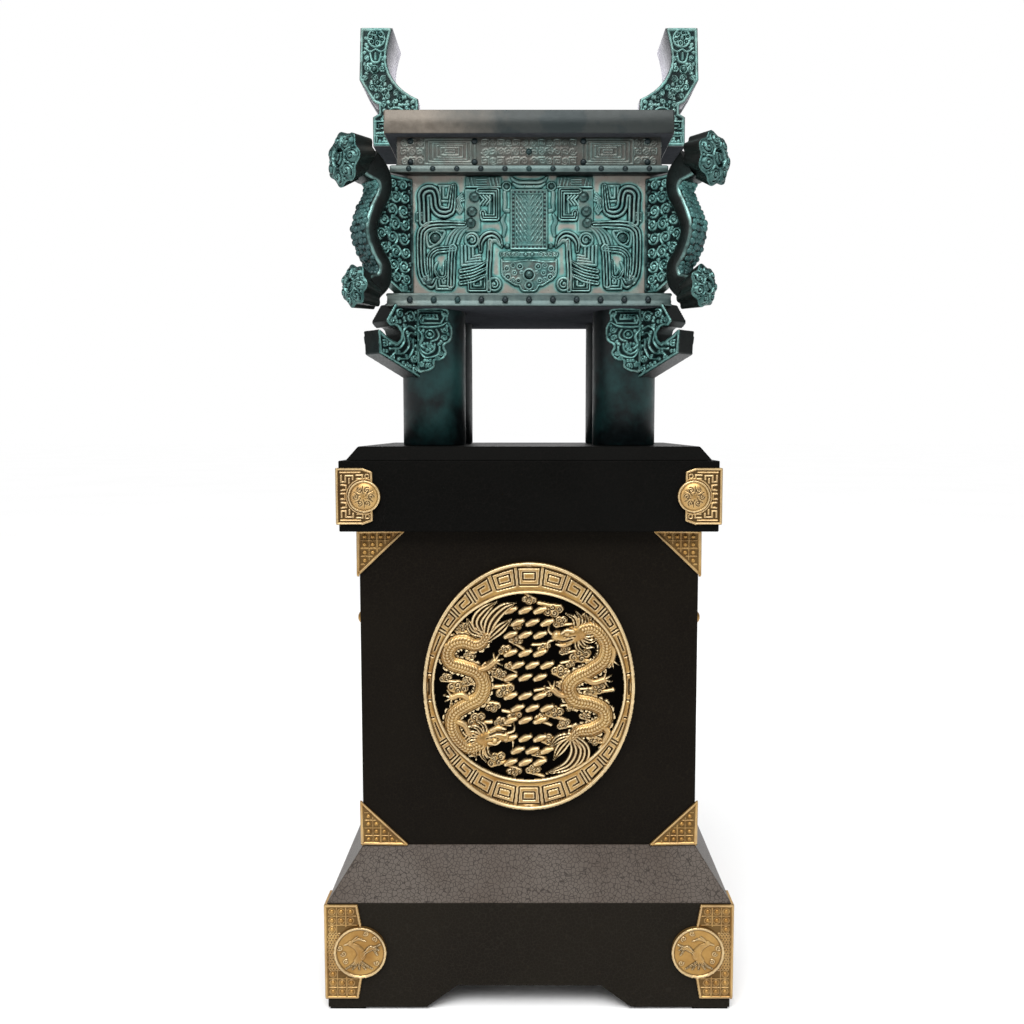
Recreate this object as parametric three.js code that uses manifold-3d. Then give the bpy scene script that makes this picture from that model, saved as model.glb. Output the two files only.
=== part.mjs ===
// A bronze ding on a tall lacquered pedestal with gilt fittings.
// Millimetres, +Z up. The origin is on the floor under the middle, and the front faces -Y.
import * as THREE from 'three';
import { mergeVertices } from 'three/addons/utils/BufferGeometryUtils.js';
import Module from 'manifold-3d';

const wasm = await Module();
wasm.setup();

// Pedestal: each tier's half width, and the heights where one tier gives way to the next.
const DEPTH_LESS = 60;
const BASE_HALF = 339;
const SHAFT_HALF = 285;
const CAP_HALF = 313;
const PLATFORM_FOOT_HALF = 303;
const PAD_TOP = 4;
const BASE_TOP = 186;
const SKIRT_TOP = 265;
const SHAFT_TOP = 809;
const CAP_TOP = 926;
const PLATFORM_TOP = 949;
const PAD_SIZE = 60;
const PAD_INSET = 3;
const APRON_TOP = 42;
const APRON_HALF_TOP = 121;
const APRON_FLARE = 51;

// Gilt fittings.
const PLATE = 4;
const CAP_DISC_RISE = 6;
const CAP_LEAF = 56;
const CAP_LEAF_LOW = 821;
const CAP_LEAF_HIGH = 914;
const CAP_LEAF_CHAMFER_U = 16;
const CAP_LEAF_CHAMFER_V = 6;
const CAP_BOSS_RADIUS = 26.5;
const CAP_BOSS_INSET = 42.5;
const CAP_DOME = { less: 4, height: 8 };
const SHAFT_LEAF = 79;
const BASE_LEAF = 52;
const BASE_LEAF_LOW = 21;
const BASE_LEAF_HIGH = 185;
const BASE_LEAF_SWELL = 7;
const BASE_LEAF_SHOULDER = 42;
const BASE_DISC_RADIUS = 44;
const BASE_DISC_INSET = 56;
const BASE_DISC_RISE = 8;
const KNOB_HEIGHT = 619;
const KNOB_REACH = 42;
const KNOB_RADIUS = 13;
const KNOB_COLLAR = 11;
const KNOB_NECK = 6;
const MEDALLION_HEIGHT = 543;
const MEDALLION_HALF_X = 179;
const MEDALLION_HALF_Z = 213;
const MEDALLION_OPENING = 160;
const MEDALLION_BORDER = 9;
const MEDALLION_LIP = { wide: 8, rise: 13 };
const DRAGON_RISE = { body: 15, head: 17, limb: 12 };
const STROKE = { half: 24, wide: 14, rise: 11, apart: 15 };
const STROKE_HEIGHTS = [108, 38, -32, -102];

// Vessel: bowl, mouldings and rim, as half width, half depth and height.
const BOWL_HALF_X = 205;
const BOWL_HALF_Y = 162;
const WALL = 13;
const FOOT_MOULD = { x: 240, y: 192, low: 1183, high: 1205 };
const NECK_MOULD = { x: 232, y: 189, low: 1403, high: 1415 };
const NECK = { x: 220, y: 177, low: 1415, high: 1464 };
const RIM = { x: 240, y: 197, low: 1464, high: 1502 };
const CAVITY_FLOOR = 1218;
const PANEL_LOW = 1208;
const STUD_PITCH = 40;
const MOULD_STUD = { radius: 6, height: 4 };
const NECK_STUD = { radius: 7, height: 5, rise: 17 };
const NECK_STUD_PLACES = [-198, -91, 91, 198];
const RELIEF = 6;
const BOSS_RELIEF = 9;

// Vessel: legs and the beast-head brackets that brace them.
const LEG_RADIUS = 55;
const LEG_FACETS = 14;
const LEG_X = 167.5;
const LEG_Y = 108;
const LEG_TOP = 1189;
const BRACKET_THICK = 38;
const BRACKET_HEAD = [[20, LEG_TOP], [100, LEG_TOP], [120, 1158], [114, 1152]];
const BRACKET_NOTCH = { u: 103, v: 1136, radius: 14, from: 1.0, to: -1.9 };
const BRACKET_JAW = [[118, 1132], [136, 1144], [134, 1103], [48, 1064], [20, 1064]];
const MASK_RELIEF = 5;
const MASK_LOW = 1072;
const MASK_HIGH = 1187;
const MASK_NEAR = 10;
const MASK_FAR = 70;
const MASK_LOBES = [[-26, 1186], [30, 1186], [38, 1128], [24, 1108], [8, 1078], [-26, 1074]];

// Vessel: corner flanges, measured outwards along each diagonal from the bowl's corner.
const WEB_THICK = 16;
const RIBBON_WIDE = 44;
const RIBBON_THICK = 27;
const RIBBON_STEPS = 10;
const RIBBON_SWELL_TOP = [26, 14, 5];
const RIBBON_SWELL_LOW = [16, 8, 3];
const SPINE = { rise: 6, low: 1236, high: 1372 };
const WEB_FOOT = [[-8, 1206], [22, 1206], [70, 1236]];
const WEB_HEAD = [[52, 1398], [-8, 1398]];
const RIBBON_LINE = [
  [90, 1406], [67, 1390], [63, 1366], [80, 1333], [90, 1300], [79, 1268], [64, 1246], [68, 1222], [86, 1209],
];
const WEB_BOSSES = [[36, 1352, 20], [40, 1262, 20]];
const WEB_BOSS_RELIEF = 5;
const DISC_LOBES = 7;
const DISC_LOBE_DEPTH = 0.08;
const DISC_BOSS = { share: 0.6, height: 6 };
const DISC_NECK = { wide: 0.6, tall: 0.72 };
const TOP_DISC = { radius: 41, reach: 127, height: 1408, neck: 86, lean: 1 };
const LOW_DISC = { radius: 33, reach: 110, height: 1210, neck: 72, lean: -1 };

// Vessel: ears.
const EAR_TOP = 1684;
const EAR_HALF_Y = 60;
const EAR_OPENING_HALF = 26;
const EAR_OPENING_LOW = 1516;
const EAR_OPENING_HIGH = 1592;
const EAR_OPENING_FROM = 180;
const EAR_OPENING_TO = 320;
const EAR_OUTER = [[278, 1480], [278, 1531], [268, 1536], [268, 1552], [277, 1556], [301, 1595]];
const EAR_BOSSES = [[271, 1666, 13], [275, 1630, 12], [266, 1594, 11], [238, 1562, 13]];
const EAR_BOSS_RELIEF = 5;

const X = new THREE.Vector3(1, 0, 0);
const Y = new THREE.Vector3(0, 1, 0);
const Z = new THREE.Vector3(0, 0, 1);
const OVERLAP = 2;
const ARC_STEPS = 4;
const SIDES = [-1, 1];

// A closed geometry as a solid that can be joined and cut.
function solidOf(geometry) {
  const bare = geometry.clone();
  bare.deleteAttribute('normal');
  bare.deleteAttribute('uv');
  const merged = mergeVertices(bare, 1e-3);
  const corners = merged.index.array;
  const kept = [];
  for (let i = 0; i < corners.length; i += 3) {
    const [a, b, c] = [corners[i], corners[i + 1], corners[i + 2]];
    if (a !== b && b !== c && c !== a) kept.push(a, b, c);
  }
  return new wasm.Manifold(new wasm.Mesh({
    numProp: 3,
    vertProperties: new Float32Array(merged.attributes.position.array),
    triVerts: new Uint32Array(kept),
  }));
}

function geometryOf(solid) {
  const mesh = solid.getMesh();
  const geometry = new THREE.BufferGeometry();
  geometry.setAttribute('position', new THREE.BufferAttribute(new Float32Array(mesh.vertProperties), 3));
  geometry.setIndex(new THREE.BufferAttribute(new Uint32Array(mesh.triVerts), 1));
  geometry.computeVertexNormals();
  return geometry;
}

function fuse(solids) {
  return solids.reduce((whole, next) => whole.add(next));
}

function block(x0, x1, y0, y1, z0, z1) {
  const geometry = new THREE.BoxGeometry(x1 - x0, y1 - y0, z1 - z0);
  geometry.translate((x0 + x1) / 2, (y0 + y1) / 2, (z0 + z1) / 2);
  return solidOf(geometry);
}

// A block centred over the origin, whose top may be smaller than its foot.
function tier(halfX, halfY, low, high, topX = halfX, topY = halfY) {
  const geometry = new THREE.BoxGeometry(2, 2, 2);
  const place = geometry.attributes.position;
  for (let i = 0; i < place.count; i += 1) {
    const atTop = place.getZ(i) > 0;
    place.setXYZ(
      i,
      place.getX(i) * (atTop ? topX : halfX),
      place.getY(i) * (atTop ? topY : halfY),
      atTop ? high : low,
    );
  }
  return solidOf(geometry);
}

// A closed outline, always turned anticlockwise so that holes can be cut in it.
function outline(points) {
  const corners = points.map(([u, v]) => new THREE.Vector2(u, v));
  return new THREE.Shape(THREE.ShapeUtils.isClockWise(corners) ? corners.reverse() : corners);
}

// The outline of a band that follows a line of points, with mitred corners.
function band(points, width) {
  const line = points.map(([u, v]) => new THREE.Vector2(u, v));
  const widths = Array.isArray(width) ? width : points.map(() => width);
  const left = [];
  const right = [];
  line.forEach((point, i) => {
    const before = i > 0 ? point.clone().sub(line[i - 1]).normalize() : null;
    const after = i < line.length - 1 ? line[i + 1].clone().sub(point).normalize() : null;
    const way = (before ?? after).clone().add(after ?? before).normalize();
    const stretch = before && after ? 1 / Math.max(0.5, way.dot(after)) : 1;
    const side = new THREE.Vector2(-way.y, way.x).multiplyScalar((widths[i] / 2) * stretch);
    left.push(point.clone().add(side));
    right.unshift(point.clone().sub(side));
  });
  return new THREE.Shape([...left, ...right]);
}

function ring(radiusU, radiusV, steps, lobes = 0, depth = 0) {
  const points = [];
  for (let i = 0; i < steps; i += 1) {
    const turn = (i / steps) * 2 * Math.PI;
    const swell = 1 + depth * Math.cos(lobes * turn);
    points.push([radiusU * swell * Math.cos(turn), radiusV * swell * Math.sin(turn)]);
  }
  return points;
}

function moved(points, u, v) {
  return points.map((point) => [point[0] + u, point[1] + v]);
}

// A face is an origin with two axes; the third, out of the face, is u cross v.
function face(origin, u, v) {
  return { origin, u, v, out: new THREE.Vector3().crossVectors(u, v) };
}

function faceTowards(out, distance, height) {
  const u = new THREE.Vector3().crossVectors(Z, out);
  return face(out.clone().multiplyScalar(distance).addScaledVector(Z, height), u, Z.clone());
}

function onFace(where, geometry, rise) {
  const origin = where.origin.clone().addScaledVector(where.out, rise);
  geometry.applyMatrix4(new THREE.Matrix4().makeBasis(where.u, where.v, where.out).setPosition(origin));
  return solidOf(geometry);
}

function raised(where, shape, low, high) {
  const depth = high - low;
  const geometry = new THREE.ExtrudeGeometry(shape, { depth, bevelEnabled: false, curveSegments: ARC_STEPS });
  return onFace(where, geometry, low);
}

// A raised outline whose back is smaller than its front, and leans up or down from it.
function narrowed(where, points, low, high, back, lean) {
  const depth = high - low;
  const geometry = new THREE.ExtrudeGeometry(outline(points), { depth, bevelEnabled: false });
  const place = geometry.attributes.position;
  for (let i = 0; i < place.count; i += 1) {
    if (place.getZ(i) < depth / 2) {
      place.setXY(i, place.getX(i) * back.wide, place.getY(i) * back.tall + lean);
    }
  }
  return onFace(where, geometry, low);
}

// A pointed stud with its base sunk a little into the face.
function stud(where, u, v, radius, height, facets = 4) {
  const geometry = new THREE.ConeGeometry(radius, height + OVERLAP, facets);
  geometry.rotateX(Math.PI / 2);
  geometry.translate(u, v, (height - OVERLAP) / 2);
  return onFace(where, geometry, 0);
}

function dome(where, u, v, radius, height, segments) {
  const profile = [[0, -OVERLAP], [1, -OVERLAP], [0.75, height * 0.7], [0, height]];
  const points = profile.map(([share, rise]) => new THREE.Vector2(share * radius, rise));
  const geometry = new THREE.LatheGeometry(points, segments);
  geometry.rotateX(Math.PI / 2);
  geometry.translate(u, v, 0);
  return onFace(where, geometry, 0);
}

const FRONT = Y.clone().negate();
const BACK = Y.clone();
const LEFT = X.clone().negate();
const RIGHT = X.clone();
const QUARTERS = SIDES.flatMap((sy) => SIDES.map((sx) => ({
  sx,
  sy,
  name: `${sy < 0 ? 'front' : 'back'}_${sx < 0 ? 'left' : 'right'}`,
})));

// One half of the monster-face panel: u from the centre line, v up from the panel's foot.
function faceHalf(where, side) {
  const at = (points) => points.map(([u, v]) => [side * u, v]);
  const bands = [
    [[[178, 116], [178, 171], [157, 171], [157, 130], [125, 130], [125, 176]], 11],
    [[[147, 176], [147, 147], [136, 147], [136, 176]], 6],
    [[[108, 109], [172, 107], [183, 96], [183, 30], [172, 18]], 11],
    [[[131, 5], [131, 70], [168, 64], [168, 26]], 8],
    [[[158, 44], [155, 28], [143, 26], [141, 50]], 7],
    [[[143, 78], [120, 103]], 6],
    [[[106, 183], [48, 183]], 15],
    [[[82, 169], [56, 169], [56, 125], [76, 125], [76, 138]], 9],
    [[[111, 78], [111, 46], [84, 46]], 7],
    [[[115, 24], [74, 40]], 9],
    [[[100, 20], [100, 7], [75, 7], [75, 20]], 7],
    [[[80, 78], [74, 92], [60, 95], [50, 80]], 10],
    [[[66, 88], [66, 5]], 8],
    [[[42, 164], [42, 96]], 7],
  ];
  const bosses = [
    [158.6, 91, 13],
    [92, 160, 9],
    [96.6, 136, 9],
    [99, 117, 8],
    [96.6, 90, 11],
    [59, 15, 10],
  ];
  return [
    ...bands.map(([points, width]) => raised(where, band(at(points), width), -OVERLAP, RELIEF)),
    ...bosses.map(([u, v, r]) => stud(where, side * u, v, r, BOSS_RELIEF)),
  ];
}

// The framed tablet, bar and cloud plate on the centre line. The tablet holds rows of plain strokes.
function faceMiddle(where) {
  const tablet = outline([[-29, 75], [29, 75], [29, 171], [-29, 171]]);
  tablet.holes.push(outline([[-22, 82], [22, 82], [22, 164], [-22, 164]]));
  const cloud = outline([[-46, 55], [-46, 34], [-30, 14], [0, 5], [30, 14], [46, 34], [46, 55]]);
  const rows = [96, 112, 136, 152];
  return [
    raised(where, tablet, -OVERLAP, RELIEF),
    ...rows.map((v) => raised(where, band([[-14, v], [14, v]], 5), -OVERLAP, RELIEF - 2)),
    raised(where, band([[-29, 181], [29, 181]], 12), -OVERLAP, RELIEF),
    raised(where, band([[-48, 65], [48, 65]], 11), -OVERLAP, RELIEF + 1),
    raised(where, cloud, -OVERLAP, RELIEF - 1),
    ...[[0, 32, 8], [-26, 42, 6], [26, 42, 6]].map(([u, v, r]) => stud(where, u, v, r, BOSS_RELIEF)),
  ];
}

// The short sides carry the outer part of the same face, drawn together around a plain middle bar.
function shortSide(where) {
  const squeeze = BOWL_HALF_Y / BOWL_HALF_X;
  const halves = SIDES.flatMap((side) => {
    const at = (points) => points.map(([u, v]) => [side * u * squeeze, v]);
    const bands = [
      [[[178, 116], [178, 171], [150, 171], [150, 130], [118, 130], [118, 176]], 12],
      [[[92, 109], [183, 107], [183, 20], [136, 20], [136, 70]], 12],
      [[[96, 20], [96, 80], [48, 80]], 12],
    ];
    return [
      ...bands.map(([points, width]) => raised(where, band(at(points), width), -OVERLAP, RELIEF)),
      stud(where, side * 158 * squeeze, 91, 12, BOSS_RELIEF),
      stud(where, side * 96 * squeeze, 136, 9, BOSS_RELIEF),
    ];
  });
  return [...halves, raised(where, band([[0, 12], [0, 176]], 22), -OVERLAP, RELIEF + 2)];
}

function studRow(out, mould) {
  const where = faceTowards(out, mould.y, (mould.low + mould.high) / 2);
  const count = Math.floor(BOWL_HALF_X / STUD_PITCH);
  const places = Array.from({ length: 2 * count + 1 }, (_, i) => (i - count) * STUD_PITCH);
  return places.map((u) => stud(where, u, 0, MOULD_STUD.radius, MOULD_STUD.height));
}

function neckStud(where, u, v) {
  return stud(where, u, v, NECK_STUD.radius, NECK_STUD.height);
}

function bowl() {
  const shell = fuse([
    tier(BOWL_HALF_X, BOWL_HALF_Y, FOOT_MOULD.low, RIM.low),
    ...[FOOT_MOULD, NECK_MOULD, NECK, RIM].map((part) => tier(part.x, part.y, part.low, part.high)),
  ]);
  const cavity = tier(BOWL_HALF_X - WALL, BOWL_HALF_Y - WALL, CAVITY_FLOOR, RIM.high + WALL);
  const relief = [FRONT, BACK].flatMap((out) => {
    const panel = faceTowards(out, BOWL_HALF_Y, PANEL_LOW);
    const neck = faceTowards(out, NECK.y, (NECK.low + NECK.high) / 2);
    return [
      ...SIDES.flatMap((side) => faceHalf(panel, side)),
      ...faceMiddle(panel),
      ...studRow(out, FOOT_MOULD),
      ...studRow(out, NECK_MOULD),
      ...NECK_STUD_PLACES.flatMap((u) => SIDES.map((up) => neckStud(neck, u, up * NECK_STUD.rise))),
      neckStud(neck, 0, 0),
    ];
  });
  const ends = [LEFT, RIGHT].flatMap((out) => shortSide(faceTowards(out, BOWL_HALF_X, PANEL_LOW)));
  return fuse([shell.subtract(cavity), ...relief, ...ends]);
}

// An ear: the side outline runs through the ear's depth, with an arched opening for a carrying pole.
function ear(side) {
  const profile = new THREE.Shape();
  profile.moveTo(298, EAR_TOP);
  profile.lineTo(241, EAR_TOP);
  profile.quadraticCurveTo(256, 1640, 250, 1617);
  profile.quadraticCurveTo(240, 1580, 197, 1562);
  profile.lineTo(194, RIM.high - OVERLAP);
  profile.lineTo(RIM.x - OVERLAP, RIM.high - OVERLAP);
  profile.lineTo(RIM.x - OVERLAP, EAR_OUTER[0][1]);
  EAR_OUTER.forEach(([u, v]) => profile.lineTo(u, v));
  const points = profile.getPoints(4).map((point) => new THREE.Vector2(side * point.x, point.y));
  const across = face(new THREE.Vector3(0, EAR_HALF_Y, 0), X, Z);
  const solid = raised(across, new THREE.Shape(points), 0, 2 * EAR_HALF_Y);
  const arch = new THREE.Shape();
  arch.moveTo(-EAR_OPENING_HALF, EAR_OPENING_LOW);
  arch.lineTo(EAR_OPENING_HALF, EAR_OPENING_LOW);
  arch.lineTo(EAR_OPENING_HALF, EAR_OPENING_HIGH - EAR_OPENING_HALF);
  arch.absarc(0, EAR_OPENING_HIGH - EAR_OPENING_HALF, EAR_OPENING_HALF, 0, Math.PI, false);
  const start = side < 0 ? -EAR_OPENING_TO : EAR_OPENING_FROM;
  const through = face(X.clone().multiplyScalar(start), Y, Z);
  const opening = raised(through, arch, 0, EAR_OPENING_TO - EAR_OPENING_FROM);
  const bosses = [FRONT, BACK].flatMap((out) => {
    const where = faceTowards(out, EAR_HALF_Y, 0);
    const flip = side * where.u.x;
    return EAR_BOSSES.map(([u, v, r]) => stud(where, flip * u, v, r, EAR_BOSS_RELIEF));
  });
  return fuse([solid.subtract(opening), ...bosses]);
}

// A corner flange: a carved web, a curling ribbon with a spined back, and a lobed disc at each end.
function flange({ sx, sy }) {
  const away = new THREE.Vector3(sx, sy, 0).normalize();
  const corner = new THREE.Vector3(sx * BOWL_HALF_X, sy * BOWL_HALF_Y, 0);
  const across = new THREE.Vector3().crossVectors(away, Z);
  const plate = (thick) => face(corner.clone().addScaledVector(across, -thick / 2), away, Z);
  const web = new THREE.Shape();
  WEB_FOOT.forEach(([u, v], i) => (i === 0 ? web.moveTo(u, v) : web.lineTo(u, v)));
  web.quadraticCurveTo(112, 1305, 66, 1380);
  WEB_HEAD.forEach(([u, v]) => web.lineTo(u, v));
  const line = RIBBON_LINE.map(([u, v]) => new THREE.Vector2(u, v));
  const curl = new THREE.SplineCurve(line).getPoints(RIBBON_STEPS);
  const spined = curl.map((point, i) => {
    const onBack = point.y > SPINE.low && point.y < SPINE.high;
    const swell = (RIBBON_SWELL_TOP[i] ?? 0) + (RIBBON_SWELL_LOW[curl.length - 1 - i] ?? 0);
    return RIBBON_THICK + swell + (onBack && i % 2 === 0 ? SPINE.rise : 0);
  });
  const ribbon = band(curl.map((point) => [point.x, point.y]), spined);
  const towards = face(corner, new THREE.Vector3().crossVectors(Z, away), Z);
  const discs = [TOP_DISC, LOW_DISC].flatMap(({ radius, reach, height, neck, lean }) => {
    const edge = ring(radius, radius, 2 * DISC_LOBES, DISC_LOBES, DISC_LOBE_DEPTH);
    const front = face(corner.clone().addScaledVector(away, reach), towards.u, Z);
    const middle = face(corner.clone().addScaledVector(Z, height), towards.u, Z);
    return [
      narrowed(middle, edge, neck, reach, DISC_NECK, lean * radius * (1 - DISC_NECK.tall)),
      stud(front, 0, height, radius * DISC_BOSS.share, DISC_BOSS.height, DISC_LOBES),
    ];
  });
  const scrolls = SIDES.flatMap((side) => {
    const u = away.clone().multiplyScalar(side);
    const where = face(corner.clone().addScaledVector(across, (side * WEB_THICK) / 2), u, Z);
    return WEB_BOSSES.map(([out, height, r]) => stud(where, side * out, height, r, WEB_BOSS_RELIEF));
  });
  return fuse([
    raised(plate(WEB_THICK), web, 0, WEB_THICK),
    raised(plate(RIBBON_WIDE), ribbon, 0, RIBBON_WIDE),
    ...discs,
    ...scrolls,
  ]);
}

// A round leg with a beast's head standing out along the diagonal, and half its face on either side.
function leg({ sx, sy }) {
  const axis = new THREE.Vector3(sx * LEG_X, sy * LEG_Y, 0);
  const round = (radius, low, high) => {
    const geometry = new THREE.CylinderGeometry(radius, radius, high - low, LEG_FACETS);
    geometry.rotateX(Math.PI / 2);
    geometry.translate(axis.x, axis.y, (low + high) / 2);
    return solidOf(geometry);
  };
  const away = new THREE.Vector3(sx, sy, 0).normalize();
  const across = new THREE.Vector3().crossVectors(away, Z);
  const head = new THREE.Shape();
  BRACKET_HEAD.forEach(([u, v], i) => (i === 0 ? head.moveTo(u, v) : head.lineTo(u, v)));
  const notch = BRACKET_NOTCH;
  head.absarc(notch.u, notch.v, notch.radius, notch.from, notch.to, false);
  BRACKET_JAW.forEach(([u, v]) => head.lineTo(u, v));
  const plate = face(axis.clone().addScaledVector(across, -BRACKET_THICK / 2), away, Z);
  const skin = round(LEG_RADIUS + MASK_RELIEF, MASK_LOW, MASK_HIGH);
  const half = (u, flip, hand) => {
    const lobes = outline(MASK_LOBES.map(([out, height]) => [-flip * out, height]));
    const [low, high] = hand < 0 ? [-MASK_FAR, -MASK_NEAR] : [MASK_NEAR, MASK_FAR];
    return raised(face(axis, u, Z), lobes, low, high).intersect(skin);
  };
  return fuse([
    round(LEG_RADIUS, PLATFORM_TOP, LEG_TOP),
    raised(plate, head, 0, BRACKET_THICK),
    half(X, sx, -sy),
    half(Y, sy, sx),
  ]);
}

// The gilt plates wrap a corner: the same leaf lies on the front or back face and on the side face.
function wrapped({ sx, sy }, halfX, leafAt) {
  const halfY = halfX - DEPTH_LESS;
  const long = faceTowards(sy < 0 ? FRONT : BACK, halfY, 0);
  const short = faceTowards(sx < 0 ? LEFT : RIGHT, halfX, 0);
  const longAt = (inset) => sx * long.u.x * (halfX - inset);
  const shortAt = (inset) => sy * short.u.y * (halfY - inset);
  return fuse([...leafAt(long, longAt), ...leafAt(short, shortAt)]);
}

function capCorner(quarter) {
  const middle = (CAP_LEAF_LOW + CAP_LEAF_HIGH) / 2;
  return wrapped(quarter, CAP_HALF, (where, at) => {
    const leaf = outline([
      [at(-PLATE), CAP_LEAF_LOW],
      [at(CAP_LEAF - CAP_LEAF_CHAMFER_U), CAP_LEAF_LOW],
      [at(CAP_LEAF), CAP_LEAF_LOW + CAP_LEAF_CHAMFER_V],
      [at(CAP_LEAF), CAP_LEAF_HIGH - CAP_LEAF_CHAMFER_V],
      [at(CAP_LEAF - CAP_LEAF_CHAMFER_U), CAP_LEAF_HIGH],
      [at(-PLATE), CAP_LEAF_HIGH],
    ]);
    const disc = outline(moved(ring(CAP_BOSS_RADIUS, CAP_BOSS_RADIUS, 8), at(CAP_BOSS_INSET), middle));
    const raisedFace = face(where.origin.clone().addScaledVector(where.out, CAP_DISC_RISE), where.u, where.v);
    return [
      raised(where, leaf, 0, PLATE),
      raised(where, disc, 0, CAP_DISC_RISE),
      dome(raisedFace, at(CAP_BOSS_INSET), middle, CAP_BOSS_RADIUS - CAP_DOME.less, CAP_DOME.height, 6),
    ];
  });
}

function shaftCorner(quarter, corner, up) {
  return wrapped(quarter, SHAFT_HALF, (where, at) => {
    const plate = outline([
      [at(-PLATE), corner],
      [at(SHAFT_LEAF), corner],
      [at(-PLATE), corner + up * SHAFT_LEAF],
    ]);
    return [raised(where, plate, 0, PLATE)];
  });
}

function baseCorner(quarter) {
  const middle = (BASE_LEAF_LOW + BASE_LEAF_HIGH) / 2;
  return wrapped(quarter, BASE_HALF, (where, at) => {
    const leaf = outline([
      [at(-PLATE), BASE_LEAF_LOW],
      [at(BASE_LEAF), BASE_LEAF_LOW],
      [at(BASE_LEAF + BASE_LEAF_SWELL), middle - BASE_LEAF_SHOULDER],
      [at(BASE_LEAF + BASE_LEAF_SWELL), middle + BASE_LEAF_SHOULDER],
      [at(BASE_LEAF), BASE_LEAF_HIGH],
      [at(-PLATE), BASE_LEAF_HIGH],
    ]);
    const disc = outline(moved(ring(BASE_DISC_RADIUS, BASE_DISC_RADIUS, 14), at(BASE_DISC_INSET), middle));
    return [raised(where, leaf, 0, PLATE), raised(where, disc, 0, BASE_DISC_RISE)];
  });
}

// The front roundel: an oval border around a round field, two dragons and a column of plain strokes.
function medallion() {
  const where = faceTowards(FRONT, SHAFT_HALF - DEPTH_LESS, MEDALLION_HEIGHT);
  const oval = (less) => ring(MEDALLION_HALF_X - less, MEDALLION_HALF_Z - less, 24);
  const circle = (radius) => outline(ring(radius, radius, 20));
  const border = outline(oval(0));
  border.holes.push(circle(MEDALLION_OPENING));
  const outerLip = outline(oval(0));
  outerLip.holes.push(outline(oval(MEDALLION_LIP.wide)));
  const dragons = SIDES.flatMap((side) => {
    const at = (points) => points.map(([u, v]) => [side * u, side * v]);
    const spine = new THREE.SplineCurve(at([
      [60, 128], [104, 96], [126, 52], [96, 22], [78, -10], [104, -46], [88, -84], [48, -96],
    ]).map(([u, v]) => new THREE.Vector2(u, v))).getPoints(9).map((point) => [point.x, point.y]);
    const widths = spine.map((_, i) => 12 + 22 * Math.sin((Math.PI * (i + 1)) / (spine.length + 1)));
    const limbs = [
      [[110, 70], [136, 84], [142, 66]],
      [[92, 10], [120, 2], [138, -14]],
      [[84, -30], [58, -36], [46, -20]],
      [[100, -60], [128, -72], [132, -92]],
    ];
    const head = outline(moved(ring(30, 24, 10, 5, 0.16), side * 40, side * -102));
    const tail = outline(moved(ring(26, 18, 10, 5, 0.2), side * 56, side * 132));
    return [
      raised(where, band(spine, widths), PLATE - OVERLAP, DRAGON_RISE.body),
      raised(where, head, PLATE - OVERLAP, DRAGON_RISE.head),
      raised(where, tail, PLATE - OVERLAP, DRAGON_RISE.limb),
      ...limbs.map((points) => raised(where, band(at(points), 11), PLATE - OVERLAP, DRAGON_RISE.limb)),
    ];
  });
  const strokes = STROKE_HEIGHTS.flatMap((middle) => SIDES.map((up) => {
    const height = middle + up * STROKE.apart;
    const line = band([[-STROKE.half, height], [STROKE.half, height]], STROKE.wide);
    return raised(where, line, PLATE - OVERLAP, STROKE.rise);
  }));
  return fuse([
    raised(where, outline(oval(0)), 0, PLATE),
    raised(where, border, 0, MEDALLION_BORDER),
    raised(where, outerLip, 0, MEDALLION_LIP.rise),
    ...dragons,
    ...strokes,
  ]);
}

function sideKnob(out) {
  const where = faceTowards(out, SHAFT_HALF, KNOB_HEIGHT);
  const profile = [
    [0, 0],
    [KNOB_COLLAR, 0],
    [KNOB_COLLAR, 4],
    [KNOB_NECK, 9],
    [KNOB_NECK, 20],
    [KNOB_RADIUS, 26],
    [KNOB_RADIUS, 34],
    [KNOB_NECK + 1, KNOB_REACH],
    [0, KNOB_REACH],
  ];
  const geometry = new THREE.LatheGeometry(profile.map(([r, h]) => new THREE.Vector2(r, h)), 6);
  geometry.rotateX(Math.PI / 2);
  return onFace(where, geometry, 0);
}

function base() {
  const solid = tier(BASE_HALF, BASE_HALF - DEPTH_LESS, PAD_TOP, BASE_TOP);
  const apron = (halfTop) => outline([
    [-halfTop - APRON_FLARE, -PAD_TOP],
    [halfTop + APRON_FLARE, -PAD_TOP],
    [halfTop + APRON_FLARE, PAD_TOP],
    [halfTop, APRON_TOP],
    [-halfTop, APRON_TOP],
    [-halfTop - APRON_FLARE, PAD_TOP],
  ]);
  const frontCut = raised(
    face(new THREE.Vector3(0, BASE_HALF, 0), X, Z),
    apron(APRON_HALF_TOP),
    0,
    2 * BASE_HALF,
  );
  const sideCut = raised(
    face(new THREE.Vector3(-2 * BASE_HALF, 0, 0), Y, Z),
    apron(APRON_HALF_TOP - DEPTH_LESS / 2),
    0,
    4 * BASE_HALF,
  );
  return solid.subtract(frontCut).subtract(sideCut);
}

function footPad({ sx, sy }) {
  const x = sx * (BASE_HALF - PAD_INSET - PAD_SIZE / 2);
  const y = sy * (BASE_HALF - DEPTH_LESS - PAD_INSET - PAD_SIZE / 2);
  const half = PAD_SIZE / 2;
  return block(x - half, x + half, y - half, y + half, 0, PAD_TOP);
}

const BRONZE = { color: 0x3f5c58, roughness: 0.45, metalness: 0.6 };
const LACQUER = { color: 0x1d1b19, roughness: 0.35, metalness: 0 };
const GILT = { color: 0xb08b52, roughness: 0.4, metalness: 0.9 };
const part = new THREE.Group();

function add(name, solid, finish) {
  const mesh = new THREE.Mesh(geometryOf(solid), new THREE.MeshStandardMaterial(finish));
  mesh.name = name;
  part.add(mesh);
}

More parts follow.
